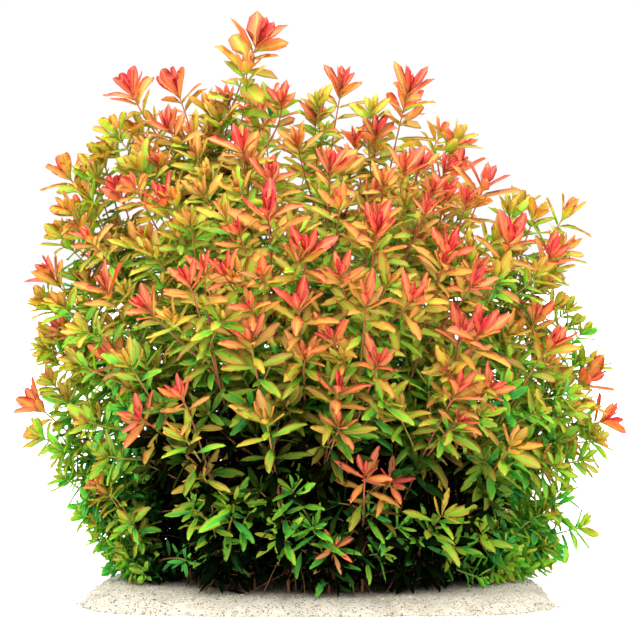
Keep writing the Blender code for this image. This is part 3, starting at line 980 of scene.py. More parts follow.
def tube(line, radii, sides):
    """Rings of points round a line, closed by a point at each end."""
    tangents = unit(np.gradient(line, axis=0))
    side = unit(np.cross(tangents[0], (0.31, 0.52, 0.79)))
    rings = []
    for spot, along, radius in zip(line, tangents, radii):
        side = unit(side - along * (side @ along))
        other = np.cross(along, side)
        for k in range(sides):
            turn = 2.0 * math.pi * k / sides
            rings.append(spot + radius * (side * math.cos(turn) + other * math.sin(turn)))
    bottom = line[0] - tangents[0] * radii[0] * 0.4
    return np.vstack((bottom, rings, line[-1] + tangents[-1] * radii[-1]))


def tube_faces(count, sides):
    """The faces of a tube with so many rings, and each corner's place on its strip of the map."""
    faces, places = [], []
    last = 1 + count * sides
    for k in range(count + 1):
        low, high = (k - 0.5) / count, (k + 0.5) / count
        for m in range(sides):
            n = (m + 1) % sides
            left, right = 0.05 + 0.9 * m / sides, 0.05 + 0.9 * (m + 1) / sides
            a, b = 1 + (k - 1) * sides + m, 1 + (k - 1) * sides + n
            d, c = a + sides, b + sides
            if k == 0:
                faces.append((0, c, d))
                places.append(((0.0, left), (high, right), (high, left)))
            elif k == count:
                faces.append((a, b, last))
                places.append(((low, left), (low, right), (1.0, left)))
            else:
                faces.append((a, b, c, d))
                places.append(((low, left), (low, right), (high, right), (high, left)))
    return faces, places


class PieceMesh:
    """Collects leaves and stems, then makes one mesh of them with its values and its map."""

    # dark holds the painted shade on the bush and the painted shadow on the sand
    VALUES = ("warmth", "along", "across", "chance", "dark")

    def __init__(self):
        self.points, self.values = [], {name: [] for name in self.VALUES}
        self.loops, self.sizes, self.materials, self.places = [], [], [], []
        self.count = 0

    def add(self, points, values, faces, places, material, cells):
        """Add copies of one shape. cells holds each copy's corner and size on the map."""
        copies, each = points.shape[0], points.shape[1]
        self.points.append(points.reshape(-1, 3))
        for name in self.VALUES:
            self.values[name].append(values[name].reshape(-1))
        corners = np.array([corner for face in faces for corner in face])
        spots = np.array([spot for face in places for spot in face])
        starts = self.count + np.arange(copies)[:, None] * each
        self.loops.append((starts + corners[None, :]).reshape(-1))
        self.sizes.append(np.tile([len(face) for face in faces], copies))
        self.materials.append(np.full(copies * len(faces), material))
        self.places.append(
            (cells[:, None, 0:2] + spots[None, :, :] * cells[:, None, 2:4]).reshape(-1, 2)
        )
        self.count += copies * each

    def build(self, name, materials):
        """The object, with smooth faces, the surface values and the map for baking."""
        mesh = bpy.data.meshes.new(name)
        points, loops = np.vstack(self.points), np.concatenate(self.loops)
        sizes = np.concatenate(self.sizes)
        mesh.vertices.add(len(points))
        mesh.vertices.foreach_set("co", points.astype(np.float32).reshape(-1))
        mesh.loops.add(len(loops))
        mesh.loops.foreach_set("vertex_index", loops.astype(np.int32))
        mesh.polygons.add(len(sizes))
        starts = np.concatenate(([0], np.cumsum(sizes)[:-1]))
        mesh.polygons.foreach_set("loop_start", starts.astype(np.int32))
        mesh.polygons.foreach_set("material_index", np.concatenate(self.materials).astype(np.int32))
        mesh.update(calc_edges=True)
        mesh.polygons.foreach_set("use_smooth", np.ones(len(sizes), dtype=bool))
        for value in self.VALUES:
            layer = mesh.attributes.new(value, "FLOAT", "POINT")
            layer.data.foreach_set("value", np.concatenate(self.values[value]).astype(np.float32))
        bake_map = mesh.uv_layers.new(name="OFBake")
        bake_map.data.foreach_set("uv", np.vstack(self.places).astype(np.float32).reshape(-1))
        if mesh.validate(verbose=False):
            raise RuntimeError(f"{name} had faces that Blender had to mend")
        for material in materials:
            mesh.materials.append(material)
        made = bpy.data.objects.new(name, mesh)
        bpy.context.scene.collection.objects.link(made)
        return made


def link(tree, source, target):
    """Feed an output to an input."""
    tree.links.new(source, target)


def maths(tree, operation, *inputs, clamp=False):
    """A Math node whose inputs are numbers or other nodes' outputs."""
    node = tree.nodes.new("ShaderNodeMath")
    node.operation = operation
    node.use_clamp = clamp
    for socket, value in zip(node.inputs, inputs):
        if isinstance(value, (int, float)):
            socket.default_value = value
        else:
            link(tree, value, socket)
    return node.outputs[0]


def blend_colours(tree, share, first, second, kind="MIX"):
    """A Mix node for colours, fed by sockets or plain colours."""
    node = tree.nodes.new("ShaderNodeMix")
    node.data_type = "RGBA"
    node.blend_type = kind
    for index, value in ((0, share), (6, first), (7, second)):
        if isinstance(value, bpy.types.NodeSocket):
            link(tree, value, node.inputs[index])
        elif isinstance(value, (int, float)):
            node.inputs[index].default_value = value
        else:
            node.inputs[index].default_value = (*value, 1.0)
    return node.outputs[2]


def product(tree, first, *others):
    """The product of numbers or other nodes' outputs."""
    for other in others:
        first = maths(tree, "MULTIPLY", first, other)
    return first


def colour_ramp(tree, share, stops, interpolation="LINEAR"):
    """The colour at a share of the way through stops of place and colour."""
    node = tree.nodes.new("ShaderNodeValToRGB")
    node.color_ramp.interpolation = interpolation
    while len(node.color_ramp.elements) < len(stops):
        node.color_ramp.elements.new(0.5)
    for element, (place, colour) in zip(node.color_ramp.elements, stops):
        element.position = place
        element.color = (*colour, 1.0)
    link(tree, share, node.inputs[0])
    return node.outputs["Color"]


def raise_surface(tree, shader, height, strength, distance):
    """A Bump node from a height to the shader's normal."""
    bump = tree.nodes.new("ShaderNodeBump")
    bump.inputs["Strength"].default_value = strength
    bump.inputs["Distance"].default_value = distance
    link(tree, height, bump.inputs["Height"])
    link(tree, bump.outputs["Normal"], shader.inputs["Normal"])


def surface_value(tree, name):
    """The value that the mesh holds under a name."""
    node = tree.nodes.new("ShaderNodeAttribute")
    node.attribute_name = name
    return node.outputs["Fac"]


def new_group(name, inputs, outputs):
    """A node group with named number inputs, and outputs given as name and socket type."""
    group = bpy.data.node_groups.new(name, "ShaderNodeTree")
    for label, value in inputs:
        socket = group.interface.new_socket(label, in_out="INPUT", socket_type="NodeSocketFloat")
        socket.default_value = value
    for label, kind in outputs:
        group.interface.new_socket(label, in_out="OUTPUT", socket_type=kind)
    entry = group.nodes.new("NodeGroupInput")
    leave = group.nodes.new("NodeGroupOutput")
    return group, entry, leave


def mottle_group():
    """Soft patches and fine grain, each from 0 to 1, at a set size."""
    group, entry, leave = new_group(
        "Mottle", (("Patches per metre", 90.0), ("Grain per metre", 900.0)),
        (("Patches", "NodeSocketFloat"), ("Grain", "NodeSocketFloat")),
    )
    where = group.nodes.new("ShaderNodeTexCoord")
    for output, detail in (("Patches", 2.0), ("Grain", 3.0)):
        noise = group.nodes.new("ShaderNodeTexNoise")
        noise.inputs["Detail"].default_value = detail
        link(group, where.outputs["Object"], noise.inputs["Vector"])
        link(group, entry.outputs[f"{output} per metre"], noise.inputs["Scale"])
        link(group, noise.outputs["Fac"], leave.inputs[output])
    return group


def growth_group():
    """The colour of leaf or stem by its age: deep green, green, olive, gold, orange, then red."""
    colours = bpy.context.scene.rotala_colours
    group, entry, leave = new_group(
        "Growth colour", (("Warmth", 0.5), ("Dark", 0.0), ("Chance", 0.5)),
        (("Colour", "NodeSocketColor"),),
    )
    ripening = colour_ramp(group, entry.outputs["Warmth"], (
        (0.00, colours.shade_green), (0.14, colours.fresh_green), (0.30, colours.leaf_lime),
        (0.45, colours.leaf_olive), (0.60, colours.leaf_gold), (0.79, colours.leaf_orange),
        (0.93, colours.leaf_red), (1.00, colours.heart_red),
    ))
    light = maths(
        group, "MULTIPLY_ADD", entry.outputs["Chance"], LEAF_LIGHT_SPREAD, LEAF_LIGHT_LEAST
    )
    # Painted shade: the colour darkens with Dark, down to nearly black
    dim = maths(group, "MULTIPLY_ADD", entry.outputs["Dark"], -FOOT_DARKENING, 1.0)
    lit = group.nodes.new("ShaderNodeVectorMath")
    lit.operation = "SCALE"
    link(group, ripening, lit.inputs[0])
    link(group, product(group, light, dim), lit.inputs["Scale"])
    link(group, lit.outputs[0], leave.inputs["Colour"])
    return group


def new_material(name):
    """A material, its nodes and its shader."""
    material = bpy.data.materials.new(name)
    material.use_nodes = True
    return material, material.node_tree, material.node_tree.nodes["Principled BSDF"]


def add_group(tree, group, **values):
    """Place a shared group in a material, with its own values."""
    node = tree.nodes.new("ShaderNodeGroup")
    node.node_tree = group
    for label, value in values.items():
        socket = node.inputs[label.replace("_", " ")]
        if isinstance(value, bpy.types.NodeSocket):
            link(tree, value, socket)
        else:
            socket.default_value = value
    return node


def leaf_streaks(tree):
    """Streaks that run along a leaf, other ones on each leaf, from about -0.5 to 0.5."""
    where = tree.nodes.new("ShaderNodeCombineXYZ")
    for axis, name, stretch in (("X", "across", 4.2), ("Y", "along", 0.9), ("Z", "chance", 70.0)):
        link(tree, product(tree, surface_value(tree, name), stretch), where.inputs[axis])
    noise = tree.nodes.new("ShaderNodeTexNoise")
    for label, value in (("Scale", 1.3), ("Detail", 4.0), ("Roughness", 0.65)):
        noise.inputs[label].default_value = value
    link(tree, where.outputs[0], noise.inputs["Vector"])
    return maths(tree, "SUBTRACT", noise.outputs["Fac"], 0.5)


def leaf_warmth(tree, patches, edge, rib, lot):
    """A leaf's place on the growth ramp: its age, moved by patches, streaks, edge and midrib."""
    warm = maths(tree, "MULTIPLY_ADD", patches, PATCH_SHIFT, -0.5 * PATCH_SHIFT)
    warm = maths(tree, "ADD", surface_value(tree, "warmth"), warm)
    warm = maths(tree, "MULTIPLY_ADD", leaf_streaks(tree), STREAK_SHIFT, warm)
    warm = maths(tree, "MULTIPLY_ADD", edge, EDGE_SHIFT, warm)
    greener = maths(tree, "MULTIPLY_ADD", lot, -5.0, 1.1, clamp=True)
    warm = maths(tree, "MULTIPLY_ADD", greener, -GREENER_LEAF_SHIFT, warm)
    return maths(tree, "MULTIPLY_ADD", rib, -RIB_SHIFT, warm, clamp=True)


def leaf_material(growth, mottle):
    """Thin waxy leaf: coloured by age, paler along its midrib, redder at its edge, lit through."""
    material, tree, shader = new_material("rotala leaf")
    chance, dark = surface_value(tree, "chance"), surface_value(tree, "dark")
    along = surface_value(tree, "along")
    across = maths(tree, "ABSOLUTE", surface_value(tree, "across"))
    marks = add_group(tree, mottle, Patches_per_metre=110.0, Grain_per_metre=1500.0)
    edge = maths(tree, "POWER", across, 2.0)
    rib = maths(tree, "SUBTRACT", 1.0, product(tree, across, 5.0), clamp=True)
    lot = maths(tree, "FRACT", product(tree, chance, 7.0))
    # Painted shade from the dark value also takes the tan and the paleness away
    lit = maths(tree, "SUBTRACT", 1.0, dark, clamp=True)

    warm = leaf_warmth(tree, marks.outputs["Patches"], edge, rib, lot)
    age = add_group(tree, growth, Warmth=warm, Dark=dark, Chance=chance)
    tanned_leaf = maths(tree, "MULTIPLY_ADD", lot, 3.0, -1.7, clamp=True)
    tanned_edge = maths(tree, "MULTIPLY_ADD", edge, 0.32, 0.20)
    not_green = maths(tree, "MULTIPLY_ADD", warm, 4.0, -1.2, clamp=True)
    tanned = product(tree, tanned_leaf, tanned_edge, not_green, lit)
    colour = blend_colours(tree, tanned, age.outputs["Colour"], LEAF_TAN)
    slant = maths(tree, "MULTIPLY_ADD", across, -5.5, product(tree, along, 50.0))
    veins = maths(tree, "POWER", maths(tree, "ABSOLUTE", maths(tree, "SINE", slant)), 6.0)
    pale = maths(tree, "MULTIPLY_ADD", veins, VEIN_PALENESS, product(tree, rib, RIB_PALENESS))
    colour = blend_colours(tree, product(tree, pale, lit), colour, VEIN_PALE, "SCREEN")
    link(tree, colour, shader.inputs["Base Color"])

    rough = maths(tree, "MULTIPLY_ADD", marks.outputs["Grain"], 0.22, 0.44)
    link(tree, rough, shader.inputs["Roughness"])
    shine = maths(tree, "MULTIPLY_ADD", dark, -0.22, 0.24)
    link(tree, shine, shader.inputs["Specular IOR Level"])
    height = maths(tree, "ADD", product(tree, rib, -1.0), product(tree, veins, -0.35))
    raise_surface(tree, shader, height, 0.5, 0.0003)
    glow = tree.nodes.new("ShaderNodeBsdfTranslucent")
    link(tree, colour, glow.inputs["Color"])
    mix = tree.nodes.new("ShaderNodeMixShader")
    mix.inputs[0].default_value = LIT_THROUGH
    link(tree, shader.outputs[0], mix.inputs[1])
    link(tree, glow.outputs[0], mix.inputs[2])
    link(tree, mix.outputs[0], tree.nodes["Material Output"].inputs["Surface"])
    return material


def stem_material(growth, mottle):
    """Round stem: red-brown under the tips, green lower, painted shade nearly black at the foot."""
    material, tree, shader = new_material("rotala stem")
    marks = add_group(tree, mottle, Patches_per_metre=160.0, Grain_per_metre=1800.0)
    age = add_group(
        tree, growth, Warmth=surface_value(tree, "warmth"), Dark=surface_value(tree, "dark"),
        Chance=marks.outputs["Patches"],
    )
    colour = blend_colours(tree, STEM_BARK_SHARE, age.outputs["Colour"], STEM_BARK)
    link(tree, colour, shader.inputs["Base Color"])
    rough = maths(tree, "MULTIPLY_ADD", marks.outputs["Grain"], 0.25, 0.38)
    link(tree, rough, shader.inputs["Roughness"])
    shader.inputs["Specular IOR Level"].default_value = 0.25
    raise_surface(tree, shader, marks.outputs["Grain"], 0.4, 0.0002)
    return material


def sand_material(mottle):
    """Pale sand with cream, brown and nearly black grains, and painted shadow under the bush."""
    colours = bpy.context.scene.rotala_colours
    material, tree, shader = new_material("pale sand")
    where = tree.nodes.new("ShaderNodeTexCoord")
    grains = tree.nodes.new("ShaderNodeTexVoronoi")
    grains.inputs["Scale"].default_value = SAND_GRAINS_PER_METRE
    link(tree, where.outputs["Object"], grains.inputs["Vector"])
    lot = tree.nodes.new("ShaderNodeSeparateColor")
    link(tree, grains.outputs["Color"], lot.inputs[0])
    marks = add_group(tree, mottle, Patches_per_metre=55.0, Grain_per_metre=2200.0)
    patches, painted_shadow = marks.outputs["Patches"], surface_value(tree, "dark")
    pale, dark = tuple(colours.sand_pale), tuple(colours.sand_dark)
    cream = tuple(min(1.0, channel * 1.25) for channel in pale)

    colour = blend_colours(tree, lot.outputs[0], pale, cream)
    for channel, above, share, kind in ((1, 0.80, 0.65, SAND_BROWN), (2, 0.88, 0.85, dark)):
        chosen = maths(tree, "GREATER_THAN", lot.outputs[channel], above)
        colour = blend_colours(tree, product(tree, chosen, share), colour, kind)
    loose = colour_ramp(
        tree, surface_value(tree, "chance"),
        ((0.0, cream), (0.40, pale), (0.70, SAND_TAN), (0.83, SAND_BROWN), (0.92, dark)),
        "CONSTANT",
    )
    colour = blend_colours(tree, surface_value(tree, "along"), colour, loose)
    soft = maths(tree, "MULTIPLY_ADD", patches, 3.2, -1.45, clamp=True)
    colour = blend_colours(tree, product(tree, soft, 0.65), colour, SAND_DAMP)
    # Painted shadow under the bush, with a ragged edge from the patches
    ragged = maths(tree, "MULTIPLY_ADD", patches, 1.6, -0.8)
    shadow_share = product(tree, maths(tree, "ADD", painted_shadow, ragged, clamp=True), painted_shadow, 0.93)
    colour = blend_colours(tree, shadow_share, colour, SHADOW_COLOUR)
    link(tree, colour, shader.inputs["Base Color"])
    rough = maths(tree, "MULTIPLY_ADD", marks.outputs["Grain"], 0.25, 0.70)
    link(tree, rough, shader.inputs["Roughness"])
    height = maths(tree, "SUBTRACT", 1.0, grains.outputs["Distance"])
    raise_surface(tree, shader, height, 0.7, 0.0006)
    return material


def shared_materials():
    """The leaf, stem and sand materials, made once."""
    found = [bpy.data.materials.get(name) for name in ("rotala leaf", "rotala stem", "pale sand")]
    if all(found):
        return found
    growth, mottle = growth_group(), mottle_group()
    return leaf_material(growth, mottle), stem_material(growth, mottle), sand_material(mottle)


def leaf_cells(count):
    """Each leaf's corner and size on the map, over the strips of the stems."""
    columns = max(1, math.ceil(math.sqrt(count * 0.5)))
    width = 1.0 / columns
    height = (1.0 - STEM_MAP_SHARE) / math.ceil(count / columns)
    return np.array([
        ((k % columns) * width, STEM_MAP_SHARE + (k // columns) * height, width, height)
        for k in range(count)
    ])


def add_leaves(piece, leaves, settings):
    """Add every leaf, in fuller forms on the crowns and plainer ones inside the bush."""
    cells = leaf_cells(len(leaves))
    seen = leaves["near_tip"] & (outwardness(leaves["foot"]) > FINE_OUTSIDE)
    high = leaves["foot"][:, 2] > CROWN_LEAVES_ABOVE
    small = leaves["twig_leaf"] < SMALL_BELOW
    forms = (
        (CROWN_LEAF, seen & high), (FINE_LEAF, seen & ~high),
        (PLAIN_LEAF, ~seen & ~small), (SMALL_LEAF, ~seen & small),
    )
    for form, chosen in forms:
        if chosen.any():
            points, values = leaf_shapes(leaves[chosen], settings, form)
            piece.add(points, values, *leaf_faces(form), 0, cells[chosen])


def add_tube(piece, line, radii, sides, warmth, shade, cell):
    """Add one stem or root to a piece."""
    shape = tube(line, radii, sides)
    count = len(shape)
    # dark holds the painted shade of the foot and its hollow
    values = {
        "warmth": np.clip(warmth, 0.0, 1.0), "along": np.zeros(count), "across": np.zeros(count),
        "chance": np.full(count, 0.5),
        "dark": np.clip(darkness(shape) + shade * low_middle(shape), 0.0, 1.0),
    }
    values = {name: value[None, :] for name, value in values.items()}
    piece.add(shape[None, :, :], values, *tube_faces(len(line), sides), 1, np.array([cell]))


def grow_piece(name, twigs, roots, settings, materials, rng):
    """One shoot's leaves, stems and roots as one object."""
    piece = PieceMesh()
    leaves = [leaf for twig in twigs for leaf in leaves_along(twig, settings, rng)]
    add_leaves(piece, np.array(leaves, dtype=LEAF), settings)
    strip = STEM_MAP_SHARE / (len(twigs) + len(roots))
    for k, twig in enumerate(twigs):
        sides = STEM_SIDES if twig.set_by_hand else TWIG_SIDES
        radii = np.interp(twig.reach, (0.0, twig.length), twig.radii)
        rings_from_tip = np.repeat(twig.length - twig.reach, sides)
        from_tip = np.concatenate(([twig.length], rings_from_tip, [0.0]))
        warmth = twig.redness - 0.5 * (1.0 - np.exp(-from_tip / 0.10))
        # Painted shade on stems in the hollow of the foot, from 12 mm below a tip
        shade = np.maximum(twig.shade, np.clip((from_tip - 0.012) / 0.02, 0.0, 1.0))
        add_tube(piece, twig.line, radii, sides, warmth, shade, (0.0, strip * k, 1.0, strip))
    for k, (line, radius) in enumerate(roots, start=len(twigs)):
        radii = np.full(len(line), radius)
        warmth = np.full(2 + ROOT_SIDES * len(line), 0.30)
        # Roots get painted shade in the hollow of the foot
        add_tube(piece, line, radii, ROOT_SIDES, warmth, 0.9, (0.0, strip * k, 1.0, strip))
    return piece.build(name, materials)


def root_threads(shoot, stems, rng):
    """Fine roots that leave the lowest joints of a stem and hang or wander to the sand."""
    threads = []
    for _ in range(rng.integers(*ROOT_COUNT)):
        start = shoot.point(rng.uniform(0.012, min(0.08, 0.4 * shoot.length)))
        drop = start[2] - BED_HEIGHT
        drift = rng.normal(0.0, ROOT_DRIFT, 2)
        end = np.array((start[0] + drift[0], start[1] + drift[1], BED_HEIGHT - 0.0005))
        bow = np.array((*rng.normal(0.0, ROOT_BOW, 2), 0.0))
        controls = (start, start + bow + (0, 0, drop * 0.1), end + bow + (0, 0, drop * 0.3), end)
        threads.append((curve_points(controls, np.linspace(0.0, 1.0, 7)), stems.root_radius))
    return threads


def sand_height(share, wave):
    """Height of the sand at a share of the way out to its rim, with its gentle swells."""
    slope = np.clip((1.0 - share) / SAND_SLOPE_SHARE, 0.0, 1.0)
    rise = np.interp(slope, (0.0, 0.15, 0.55, 1.0), (0.10, 0.42, 0.80, 1.0))
    return BED_HEIGHT * rise + 0.0005 * wave * np.minimum(slope * 2.0, 1.0)


def rim_point(turn, share, rim):
    """A point of the sand at a turn round it and a share of the way out to its uneven rim."""
    half_width = 0.5 * (BED_HIGH[0] - BED_LOW[0]) - rim
    half_depth = 0.5 * (BED_HIGH[1] - BED_LOW[1]) - rim
    behind = np.sin(turn) > 0.0
    power = 2.0 / np.where(behind, SAND_BACK_SQUARENESS, SAND_SQUARENESS)
    reach = half_depth + np.where(behind, 1.0, -1.0) * SAND_WIDEST_FORWARD
    x = np.sign(np.cos(turn)) * np.abs(np.cos(turn)) ** power * half_width * share
    y = np.sign(np.sin(turn)) * np.abs(np.sin(turn)) ** power * reach - SAND_WIDEST_FORWARD
    return x, y * share


def swell(x, y):
    """The low swells of the sand at a place, from about -1 to 1."""
    broad = np.sin(61.0 * x + 1.7) * np.cos(83.0 * y + 0.4)
    ridges = 0.6 * np.sin(173.0 * x - 140.0 * y)
    fine = 0.4 * np.sin(390.0 * x + 2.0) * np.sin(330.0 * y + 1.0)
    return (broad + ridges + fine) / 2.0


def shadow_under_bush(x, y):
    """How much painted shadow of the bush lies on the sand at a place, from 0 to 1."""
    out = np.hypot(x / SHADOW_HALF_WIDTH, y / SHADOW_HALF_DEPTH)
    return np.clip((1.12 - out) / 0.22, 0.0, 1.0)


def rim_waste(turn):
    """How far the rim draws in at a turn round the sand."""
    ripple = np.sin(9 * turn + 1.0) + 0.8 * np.sin(23 * turn + 2.0) + 0.7 * np.sin(57 * turn)
    crumbs = 0.9 * np.sin(83 * turn + 1.0) * np.sin(31 * turn)
    return 0.0007 * (2.4 + ripple + crumbs) + 0.0026 * np.cos(turn) ** 4


def add_sand_surface(piece):
    """Add the bed of sand: a fan round its middle, rings out to its rim, and its flat underside."""
    sides, rings = SAND_SIDES, SAND_RINGS
    turns = np.arange(sides) * 2.0 * math.pi / sides
    shares = np.linspace(0.0, 1.0, rings + 1)[1:] ** 0.8
    grid = []
    for share in shares:
        x, y = rim_point(turns, share, rim_waste(turns))
        grid.append(np.stack((x, y, sand_height(share, swell(x, y))), axis=1))
    under = grid[-1] * (1.0, 1.0, 0.0)
    points = np.vstack(([(0.0, 0.0, BED_HEIGHT)], *grid, under, [(0.0, 0.0, 0.0)]))
    width, depth = 2.0 * points[:, 0].max(), 2.0 * points[:, 1].max()
    faces, places = [], []

    def add_face(face, corner, size):
        """Add a face, seen from above on its patch of the map."""
        faces.append(face)
        places.append([
            (corner[0] + size[0] * (points[index, 0] / width + 0.5),
             corner[1] + size[1] * (points[index, 1] / depth + 0.5))
            for index in face
        ])

    rim = 1 + (rings - 1) * sides
    for m in range(sides):
        n = (m + 1) % sides
        add_face((0, 1 + m, 1 + n), *TOP_PATCH)
        for low in range(1, rim, sides):
            high = low + sides
            add_face((low + m, high + m, high + n, low + n), *TOP_PATCH)
        low = rim + sides
        faces.append((rim + m, low + m, low + n, rim + n))
        left = 0.80 + 0.19 * m / sides
        places.append([(left, 0.24), (left, 0.20), (left + 0.001, 0.20), (left + 0.001, 0.24)])
        add_face((low + n, low + m, low + sides), *UNDER_PATCH)
    values = {name: np.zeros((1, len(points))) for name in PieceMesh.VALUES}
    # The sand under the bush gets painted shadow
    values["dark"] = shadow_under_bush(points[:, 0], points[:, 1])[None, :]
    values["chance"] = np.full((1, len(points)), 0.5)
    piece.add(points[None], values, faces, places, 0, np.array([(0.0, 0.0, 1.0, 1.0)]))


def add_loose_grains(piece, settings, rng):
    """Add loose grains on the outer part of the bed, and a few that strayed past its rim."""
    count = settings.grains
    turns = rng.uniform(0.0, 2.0 * math.pi, count)
    shares = 1.0 - GRAIN_BAND * rng.uniform(0.0, 1.0, count) ** 1.4
    strays = (rng.uniform(0.0, 1.0, count) < STRAY_SHARE) & (np.sin(turns) < 0.1)
    shares[strays] = 1.0 + STRAY_REACH * rng.uniform(0.0, 1.0, strays.sum()) ** 1.7
    x, y = rim_point(turns, shares, rim_waste(turns))
    heights = np.where(strays, 0.0003, sand_height(shares, swell(x, y)))
    middles = np.stack((x, y, heights), axis=1)
    sizes = settings.grain_radius * rng.uniform(*GRAIN_SIZES, count) ** 1.3
    spokes = rng.normal(0.0, 1.0, (count, 6, 3)) * GRAIN_UNEVENNESS + np.array(OCTAHEDRON)
    spokes[:, :, 2] *= GRAIN_FLATNESS
    points = middles[:, None, :] + spokes * sizes[:, None, None]
    points[:, :, 2] = np.maximum(points[:, :, 2], 0.0)
    values = {name: np.zeros((count, 6)) for name in PieceMesh.VALUES}
    values["chance"] = np.tile(rng.uniform(0.0, 1.0, count)[:, None], (1, 6))
    values["along"] = np.ones((count, 6))
    # Grains under the bush get painted shadow too
    values["dark"] = np.tile(shadow_under_bush(x, y)[:, None], (1, 6))
    columns = math.ceil(math.sqrt(count * 2.5))
    cell = (1.0 / columns, GRAIN_MAP_HEIGHT / math.ceil(count / columns))
    cells = np.array([
        ((k % columns) * cell[0], GRAIN_MAP_LOW + (k // columns) * cell[1], *cell)
        for k in range(count)
    ])
    places = [
        [(0.1 + 0.8 * (corner % 2), 0.1 + 0.8 * (corner // 2 % 2)) for corner in face]
        for face in GRAIN_FACES
    ]
    piece.add(points, values, GRAIN_FACES, places, 0, cells)


def stand(name, data, location=(0.0, 0.0, 0.0), rotation=(0.0, 0.0, 0.0)):
    """An object in the scene, at its place and turned."""
    made = bpy.data.objects.new(name, data)
    made.location = location
    made.rotation_euler = rotation
    bpy.context.scene.collection.objects.link(made)
    return made


def lay_floor():
    """The plain pale floor."""
    half = FLOOR_HALF_WIDTH
    mesh = bpy.data.meshes.new("floor")
    corners = [(-half, -half, 0), (half, -half, 0), (half, half, 0), (-half, half, 0)]
    mesh.from_pydata(corners, [], [(0, 1, 2, 3)])
    paint, _, shader = new_material("pale floor")
    shader.inputs["Base Color"].default_value = (*FLOOR_COLOUR, 1.0)
    shader.inputs["Roughness"].default_value = 0.8
    mesh.materials.append(paint)
    stand("floor", mesh)


def set_camera(stage):
    """The camera, level with the upper half of the bush and looking a little down."""
    data = bpy.data.cameras.new("camera")
    data.sensor_width = 36.0
    data.lens = data.sensor_width * stage.camera_distance / stage.frame_width
    data.clip_end = 50.0
    place = (CAMERA_ACROSS, -stage.camera_distance, stage.camera_height)
    drop = math.atan((stage.camera_height - stage.aim_height) / stage.camera_distance)
    turn = (math.radians(90.0) - drop, 0.0, 0.0)
    bpy.context.scene.camera = stand("camera", data, place, turn)


def set_lights(stage):
    """A large soft light overhead, and a wide one from above the front."""
    key = bpy.data.lights.new("key", "AREA")
    key.shape = "SQUARE"
    key.size = KEY_SIZE
    key.energy = stage.key_power
    aim = Vector(KEY_AIM) - Vector(KEY_PLACE)
    stand("key", key, KEY_PLACE, aim.to_track_quat("-Z", "Y").to_euler())
    wide = bpy.data.lights.new("wide light", "SUN")
    wide.energy = stage.wide_strength
    wide.angle = math.radians(WIDE_LIGHT_ANGLE)
    turn = (math.radians(WIDE_LIGHT_TILT), math.radians(WIDE_LIGHT_LEAN), 0.0)
    stand("wide light", wide, rotation=turn)


def set_world(stage):
    """White light from all round, which the camera sees as plain white."""
    world = bpy.data.worlds.new("white studio")
    world.use_nodes = True
    tree = world.node_tree
    sky = tree.nodes["Background"]
    sky.inputs["Color"].default_value = (1.0, 1.0, 1.0, 1.0)
    seen = tree.nodes.new("ShaderNodeLightPath").outputs["Is Camera Ray"]
    fill = stage.fill_strength
    strength = maths(tree, "MULTIPLY_ADD", seen, BACKDROP_WHITE - fill, fill)
    link(tree, strength, sky.inputs["Strength"])
    bpy.context.scene.world = world


class ROTALA_OT_grow_shoots(bpy.types.Operator):
    """Grow every rooted shoot with its twigs, leaves and roots"""

    bl_idname = "rotala.grow_shoots"
    bl_label = "Grow the shoots"

    def execute(self, context):
        leaves, stems = context.scene.rotala_leaves, context.scene.rotala_stems
        leaf, stem, _ = shared_materials()
        shoots = main_shoots(leaves, stems)
        by_hand = place_side_tips(shoots, stems, np.random.default_rng(SEED))
        for number, (shoot, side) in enumerate(zip(shoots, by_hand), start=1):
            name = f"shoot_{number:02d}"
            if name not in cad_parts:
                raise RuntimeError(f"the packed model has no {name}")
            rng = np.random.default_rng(SEED + number)
            twigs = [shoot, *side, *twigs_by_rule(shoot, leaves, stems, rng)]
            roots = root_threads(shoot, stems, rng)
            piece = grow_piece(f"{name}_leafy", twigs, roots, leaves, (leaf, stem), rng)
            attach(piece, "root")
            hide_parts(name)
        return {"FINISHED"}


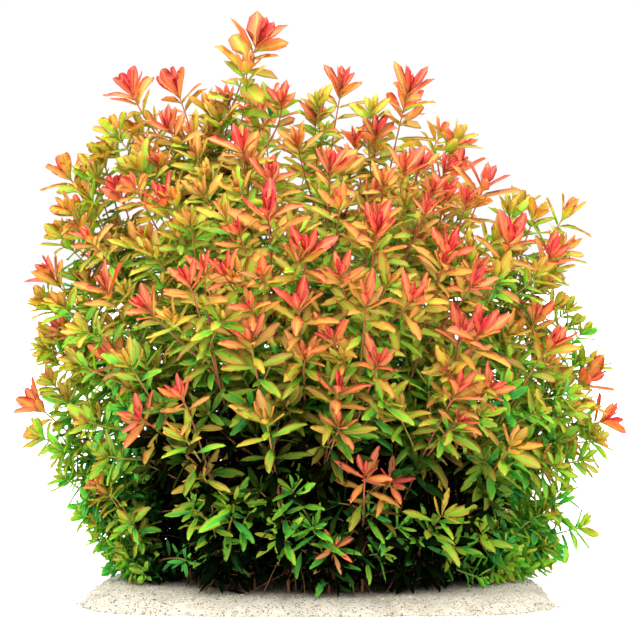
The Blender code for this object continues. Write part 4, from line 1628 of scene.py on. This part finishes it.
class ROTALA_OT_lay_sand(bpy.types.Operator):
    """Lay the bed of sand with its loose grains"""

    bl_idname = "rotala.lay_sand"
    bl_label = "Lay the sand"

    def execute(self, context):
        _, _, sand = shared_materials()
        bed = PieceMesh()
        add_sand_surface(bed)
        add_loose_grains(bed, context.scene.rotala_sand, np.random.default_rng(SEED))
        piece = bed.build("sand_with_grains", (sand,))
        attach(piece, "root")
        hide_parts("sand_bed")
        return {"FINISHED"}


class ROTALA_OT_set_stage(bpy.types.Operator):
    """Set the floor, the lights and the camera"""

    bl_idname = "rotala.set_stage"
    bl_label = "Set the stage"

    def execute(self, context):
        stage = context.scene.rotala_stage
        lay_floor()
        set_camera(stage)
        set_lights(stage)
        set_world(stage)
        context.scene.view_settings.view_transform = "Standard"
        return {"FINISHED"}


class ROTALA_PT_bush(bpy.types.Panel):
    """The steps that make the bush, with the sizes and colours they use"""

    bl_label = "Rotala bush"
    bl_space_type = "VIEW_3D"
    bl_region_type = "UI"
    bl_category = "Rotala"

    def draw(self, context):
        column = self.layout.column(align=True)
        for operator in OPERATORS:
            column.operator(operator.bl_idname)
        for name, group in SETTINGS:
            box = self.layout.box()
            settings = getattr(context.scene, name)
            for label in group.__annotations__:
                box.prop(settings, label)


SETTINGS = (
    ("rotala_leaves", LeafSettings),
    ("rotala_stems", StemSettings),
    ("rotala_sand", SandSettings),
    ("rotala_colours", ColourSettings),
    ("rotala_stage", StageSettings),
)
OPERATORS = (ROTALA_OT_grow_shoots, ROTALA_OT_lay_sand, ROTALA_OT_set_stage)
CLASSES = (*(group for _, group in SETTINGS), *OPERATORS, ROTALA_PT_bush)


def register():
    for entry in CLASSES:
        bpy.utils.register_class(entry)
    for name, group in SETTINGS:
        setattr(bpy.types.Scene, name, bpy.props.PointerProperty(type=group))


def unregister():
    for name, _ in SETTINGS:
        delattr(bpy.types.Scene, name)
    for entry in reversed(CLASSES):
        bpy.utils.unregister_class(entry)


def main():
    register()
    bpy.ops.rotala.set_stage()
    bpy.ops.rotala.lay_sand()
    bpy.ops.rotala.grow_shoots()


if __name__ == "__main__":
    main()
